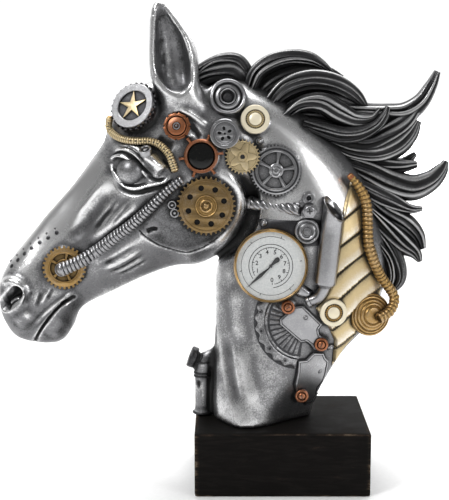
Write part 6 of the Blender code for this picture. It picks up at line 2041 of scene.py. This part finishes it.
class FinishSettings(bpy.types.PropertyGroup):
    silver: colour_setting("Silver", "Middle tone of the cast silver", (0.20, 0.20, 0.206))
    mane: colour_setting("Mane", "Middle tone of the dark mane", (0.052, 0.052, 0.054))
    steel: colour_setting("Steel", "Middle tone of the steel fittings", (0.33, 0.33, 0.34))
    brass: colour_setting("Brass", "Middle tone of the aged brass", (0.40, 0.25, 0.09))
    pale_brass: colour_setting("Pale Brass", "Middle tone of the pale brass", (0.58, 0.46, 0.26))
    cream: colour_setting("Cream Brass", "Middle tone of the cream washers", (0.80, 0.72, 0.54))
    bronze: colour_setting("Bronze", "Middle tone of the bronze", (0.25, 0.165, 0.07))
    copper: colour_setting("Copper", "Middle tone of the copper", (0.35, 0.135, 0.062))
    block: colour_setting("Block Paint", "Paint of the plinth", (0.0085, 0.0075, 0.0068))


class CastingSettings(bpy.types.PropertyGroup):
    voxel: FloatProperty(name="Skin Detail", description="Size of the finest form in the skin",
                         default=0.0015, min=0.0008, max=0.006, unit="LENGTH", precision=4)
    carving: FloatProperty(name="Carving", description="Share of the carving's full depth", default=1.0,
                           min=0, max=2, subtype="FACTOR")
    ridges: IntProperty(name="Strands", description="Ridges round each bundle of the mane", default=4,
                        min=3, max=24)
    groove: FloatProperty(name="Groove Depth", description="Depth of the grooves between strands",
                          default=0.0017, min=0, max=0.005, unit="LENGTH", precision=4)


class GearSettings(bpy.types.PropertyGroup):
    teeth_forehead: IntProperty(name="Forehead Teeth", description="Teeth of the forehead gear", default=26,
                                min=8)
    teeth_muzzle: IntProperty(name="Muzzle Teeth", description="Teeth of the muzzle gear", default=28, min=8)
    teeth_cheek: IntProperty(name="Cheek Teeth", description="Teeth of the cheek gear", default=36, min=8)
    teeth_spoked: IntProperty(name="Spoked Teeth", description="Teeth of the spoked gear", default=44, min=8)
    teeth_temple: IntProperty(name="Temple Teeth", description="Teeth of the temple gear", default=28, min=8)


class FittingSettings(bpy.types.PropertyGroup):
    rod_turns: FloatProperty(name="Rod Turns", description="Turns of the twisted rod", default=1.6, min=0,
                             max=6)
    ribs_muzzle: IntProperty(name="Muzzle Ribs", description="Ribs of the muzzle hose", default=40, min=4)
    ribs_brow: IntProperty(name="Brow Ribs", description="Ribs of the brow hose", default=42, min=4)
    ribs_neck: IntProperty(name="Neck Ribs", description="Ribs of the neck hose", default=40, min=4)


class StageSettings(bpy.types.PropertyGroup):
    surround: FloatProperty(name="Surround", description="Light from all round", default=0.25, min=0, max=3)
    lamps: FloatProperty(name="Lamps", description="Share of the lamps' full power", default=1.0, min=0,
                         max=3)


SETTINGS = {
    "horse_finishes": FinishSettings,
    "horse_casting": CastingSettings,
    "horse_gears": GearSettings,
    "horse_fittings": FittingSettings,
    "horse_stage": StageSettings,
}


# One operator for each piece or group of like pieces, and one for the stage.


class HORSE_OT_casting(bpy.types.Operator):
    """Build head, neck, ears and bottle as one carved casting, with its eyes"""

    bl_idname = "horse.casting"
    bl_label = "Casting"

    def execute(self, context):
        build_casting(context.scene.horse_casting)
        return {"FINISHED"}


class HORSE_OT_mane(bpy.types.Operator):
    """Build the swept locks of the mane"""

    bl_idname = "horse.mane"
    bl_label = "Mane"

    def execute(self, context):
        build_mane(context.scene.horse_casting)
        return {"FINISHED"}


class HORSE_OT_gears(bpy.types.Operator):
    """Build the five gears and the star"""

    bl_idname = "horse.gears"
    bl_label = "Gears"

    def execute(self, context):
        build_gears(context.scene.horse_gears)
        return {"FINISHED"}


class HORSE_OT_washers(bpy.types.Operator):
    """Build the washers, caps, discs and copper bolts"""

    bl_idname = "horse.washers"
    bl_label = "Washers and Bolts"

    def execute(self, context):
        build_washers()
        return {"FINISHED"}


class HORSE_OT_lens(bpy.types.Operator):
    """Build the black lens and its copper ring"""

    bl_idname = "horse.lens"
    bl_label = "Lens"

    def execute(self, context):
        build_lens()
        return {"FINISHED"}


class HORSE_OT_gauge(bpy.types.Operator):
    """Build the pressure gauge"""

    bl_idname = "horse.gauge"
    bl_label = "Gauge"

    def execute(self, context):
        build_gauge()
        return {"FINISHED"}


class HORSE_OT_rod(bpy.types.Operator):
    """Build the twisted rod with its nut and tab"""

    bl_idname = "horse.rod"
    bl_label = "Twisted Rod"

    def execute(self, context):
        build_rod(context.scene.horse_fittings)
        return {"FINISHED"}


class HORSE_OT_pipe(bpy.types.Operator):
    """Build the exhaust pipe and its elbow"""

    bl_idname = "horse.pipe"
    bl_label = "Exhaust Pipe"

    def execute(self, context):
        build_pipe()
        return {"FINISHED"}


class HORSE_OT_hoses(bpy.types.Operator):
    """Build the three ribbed hoses and the stepped disc that one of them runs into"""

    bl_idname = "horse.hoses"
    bl_label = "Hoses"

    def execute(self, context):
        build_hoses(context.scene.horse_fittings)
        return {"FINISHED"}


class HORSE_OT_guard(bpy.types.Operator):
    """Build the plated guard of the neck"""

    bl_idname = "horse.guard"
    bl_label = "Neck Guard"

    def execute(self, context):
        build_guard()
        return {"FINISHED"}


class HORSE_OT_relief(bpy.types.Operator):
    """Build the cover plates, the brake disc and the small screws and rings"""

    bl_idname = "horse.relief"
    bl_label = "Low Relief"

    def execute(self, context):
        build_relief()
        return {"FINISHED"}


class HORSE_OT_plinth(bpy.types.Operator):
    """Build the black block"""

    bl_idname = "horse.plinth"
    bl_label = "Plinth"

    def execute(self, context):
        build_plinth()
        return {"FINISHED"}


class HORSE_OT_stage(bpy.types.Operator):
    """Set up the floor, the lights and the camera"""

    bl_idname = "horse.stage"
    bl_label = "Stage"

    def execute(self, context):
        build_stage(context.scene.horse_stage)
        return {"FINISHED"}


OPERATORS = (
    HORSE_OT_casting, HORSE_OT_mane, HORSE_OT_gears, HORSE_OT_washers, HORSE_OT_lens, HORSE_OT_gauge,
    HORSE_OT_rod,
    HORSE_OT_pipe, HORSE_OT_hoses, HORSE_OT_guard, HORSE_OT_relief, HORSE_OT_plinth, HORSE_OT_stage,
)


class HORSE_PT_panel(bpy.types.Panel):
    """The settings and the build steps"""

    bl_label = "Horse Head"
    bl_idname = "HORSE_PT_panel"
    bl_space_type = "VIEW_3D"
    bl_region_type = "UI"
    bl_category = "Horse Head"

    def draw(self, context):
        for name, group in SETTINGS.items():
            box = self.layout.box()
            settings = getattr(context.scene, name)
            for label in group.__annotations__:
                box.prop(settings, label)
        for operator in OPERATORS:
            self.layout.operator(operator.bl_idname)


def register():
    for made in (*SETTINGS.values(), *OPERATORS, HORSE_PT_panel):
        bpy.utils.register_class(made)
    for name, group in SETTINGS.items():
        setattr(bpy.types.Scene, name, PointerProperty(type=group))


def unregister():
    for name in SETTINGS:
        delattr(bpy.types.Scene, name)
    for made in (HORSE_PT_panel, *reversed(OPERATORS), *reversed(list(SETTINGS.values()))):
        bpy.utils.unregister_class(made)


def main():
    register()
    bpy.ops.horse.casting()
    bpy.ops.horse.mane()
    bpy.ops.horse.gears()
    bpy.ops.horse.washers()
    bpy.ops.horse.lens()
    bpy.ops.horse.gauge()
    bpy.ops.horse.rod()
    bpy.ops.horse.pipe()
    bpy.ops.horse.hoses()
    bpy.ops.horse.guard()
    bpy.ops.horse.relief()
    bpy.ops.horse.plinth()
    bpy.ops.horse.stage()


if __name__ == "__main__":
    main()
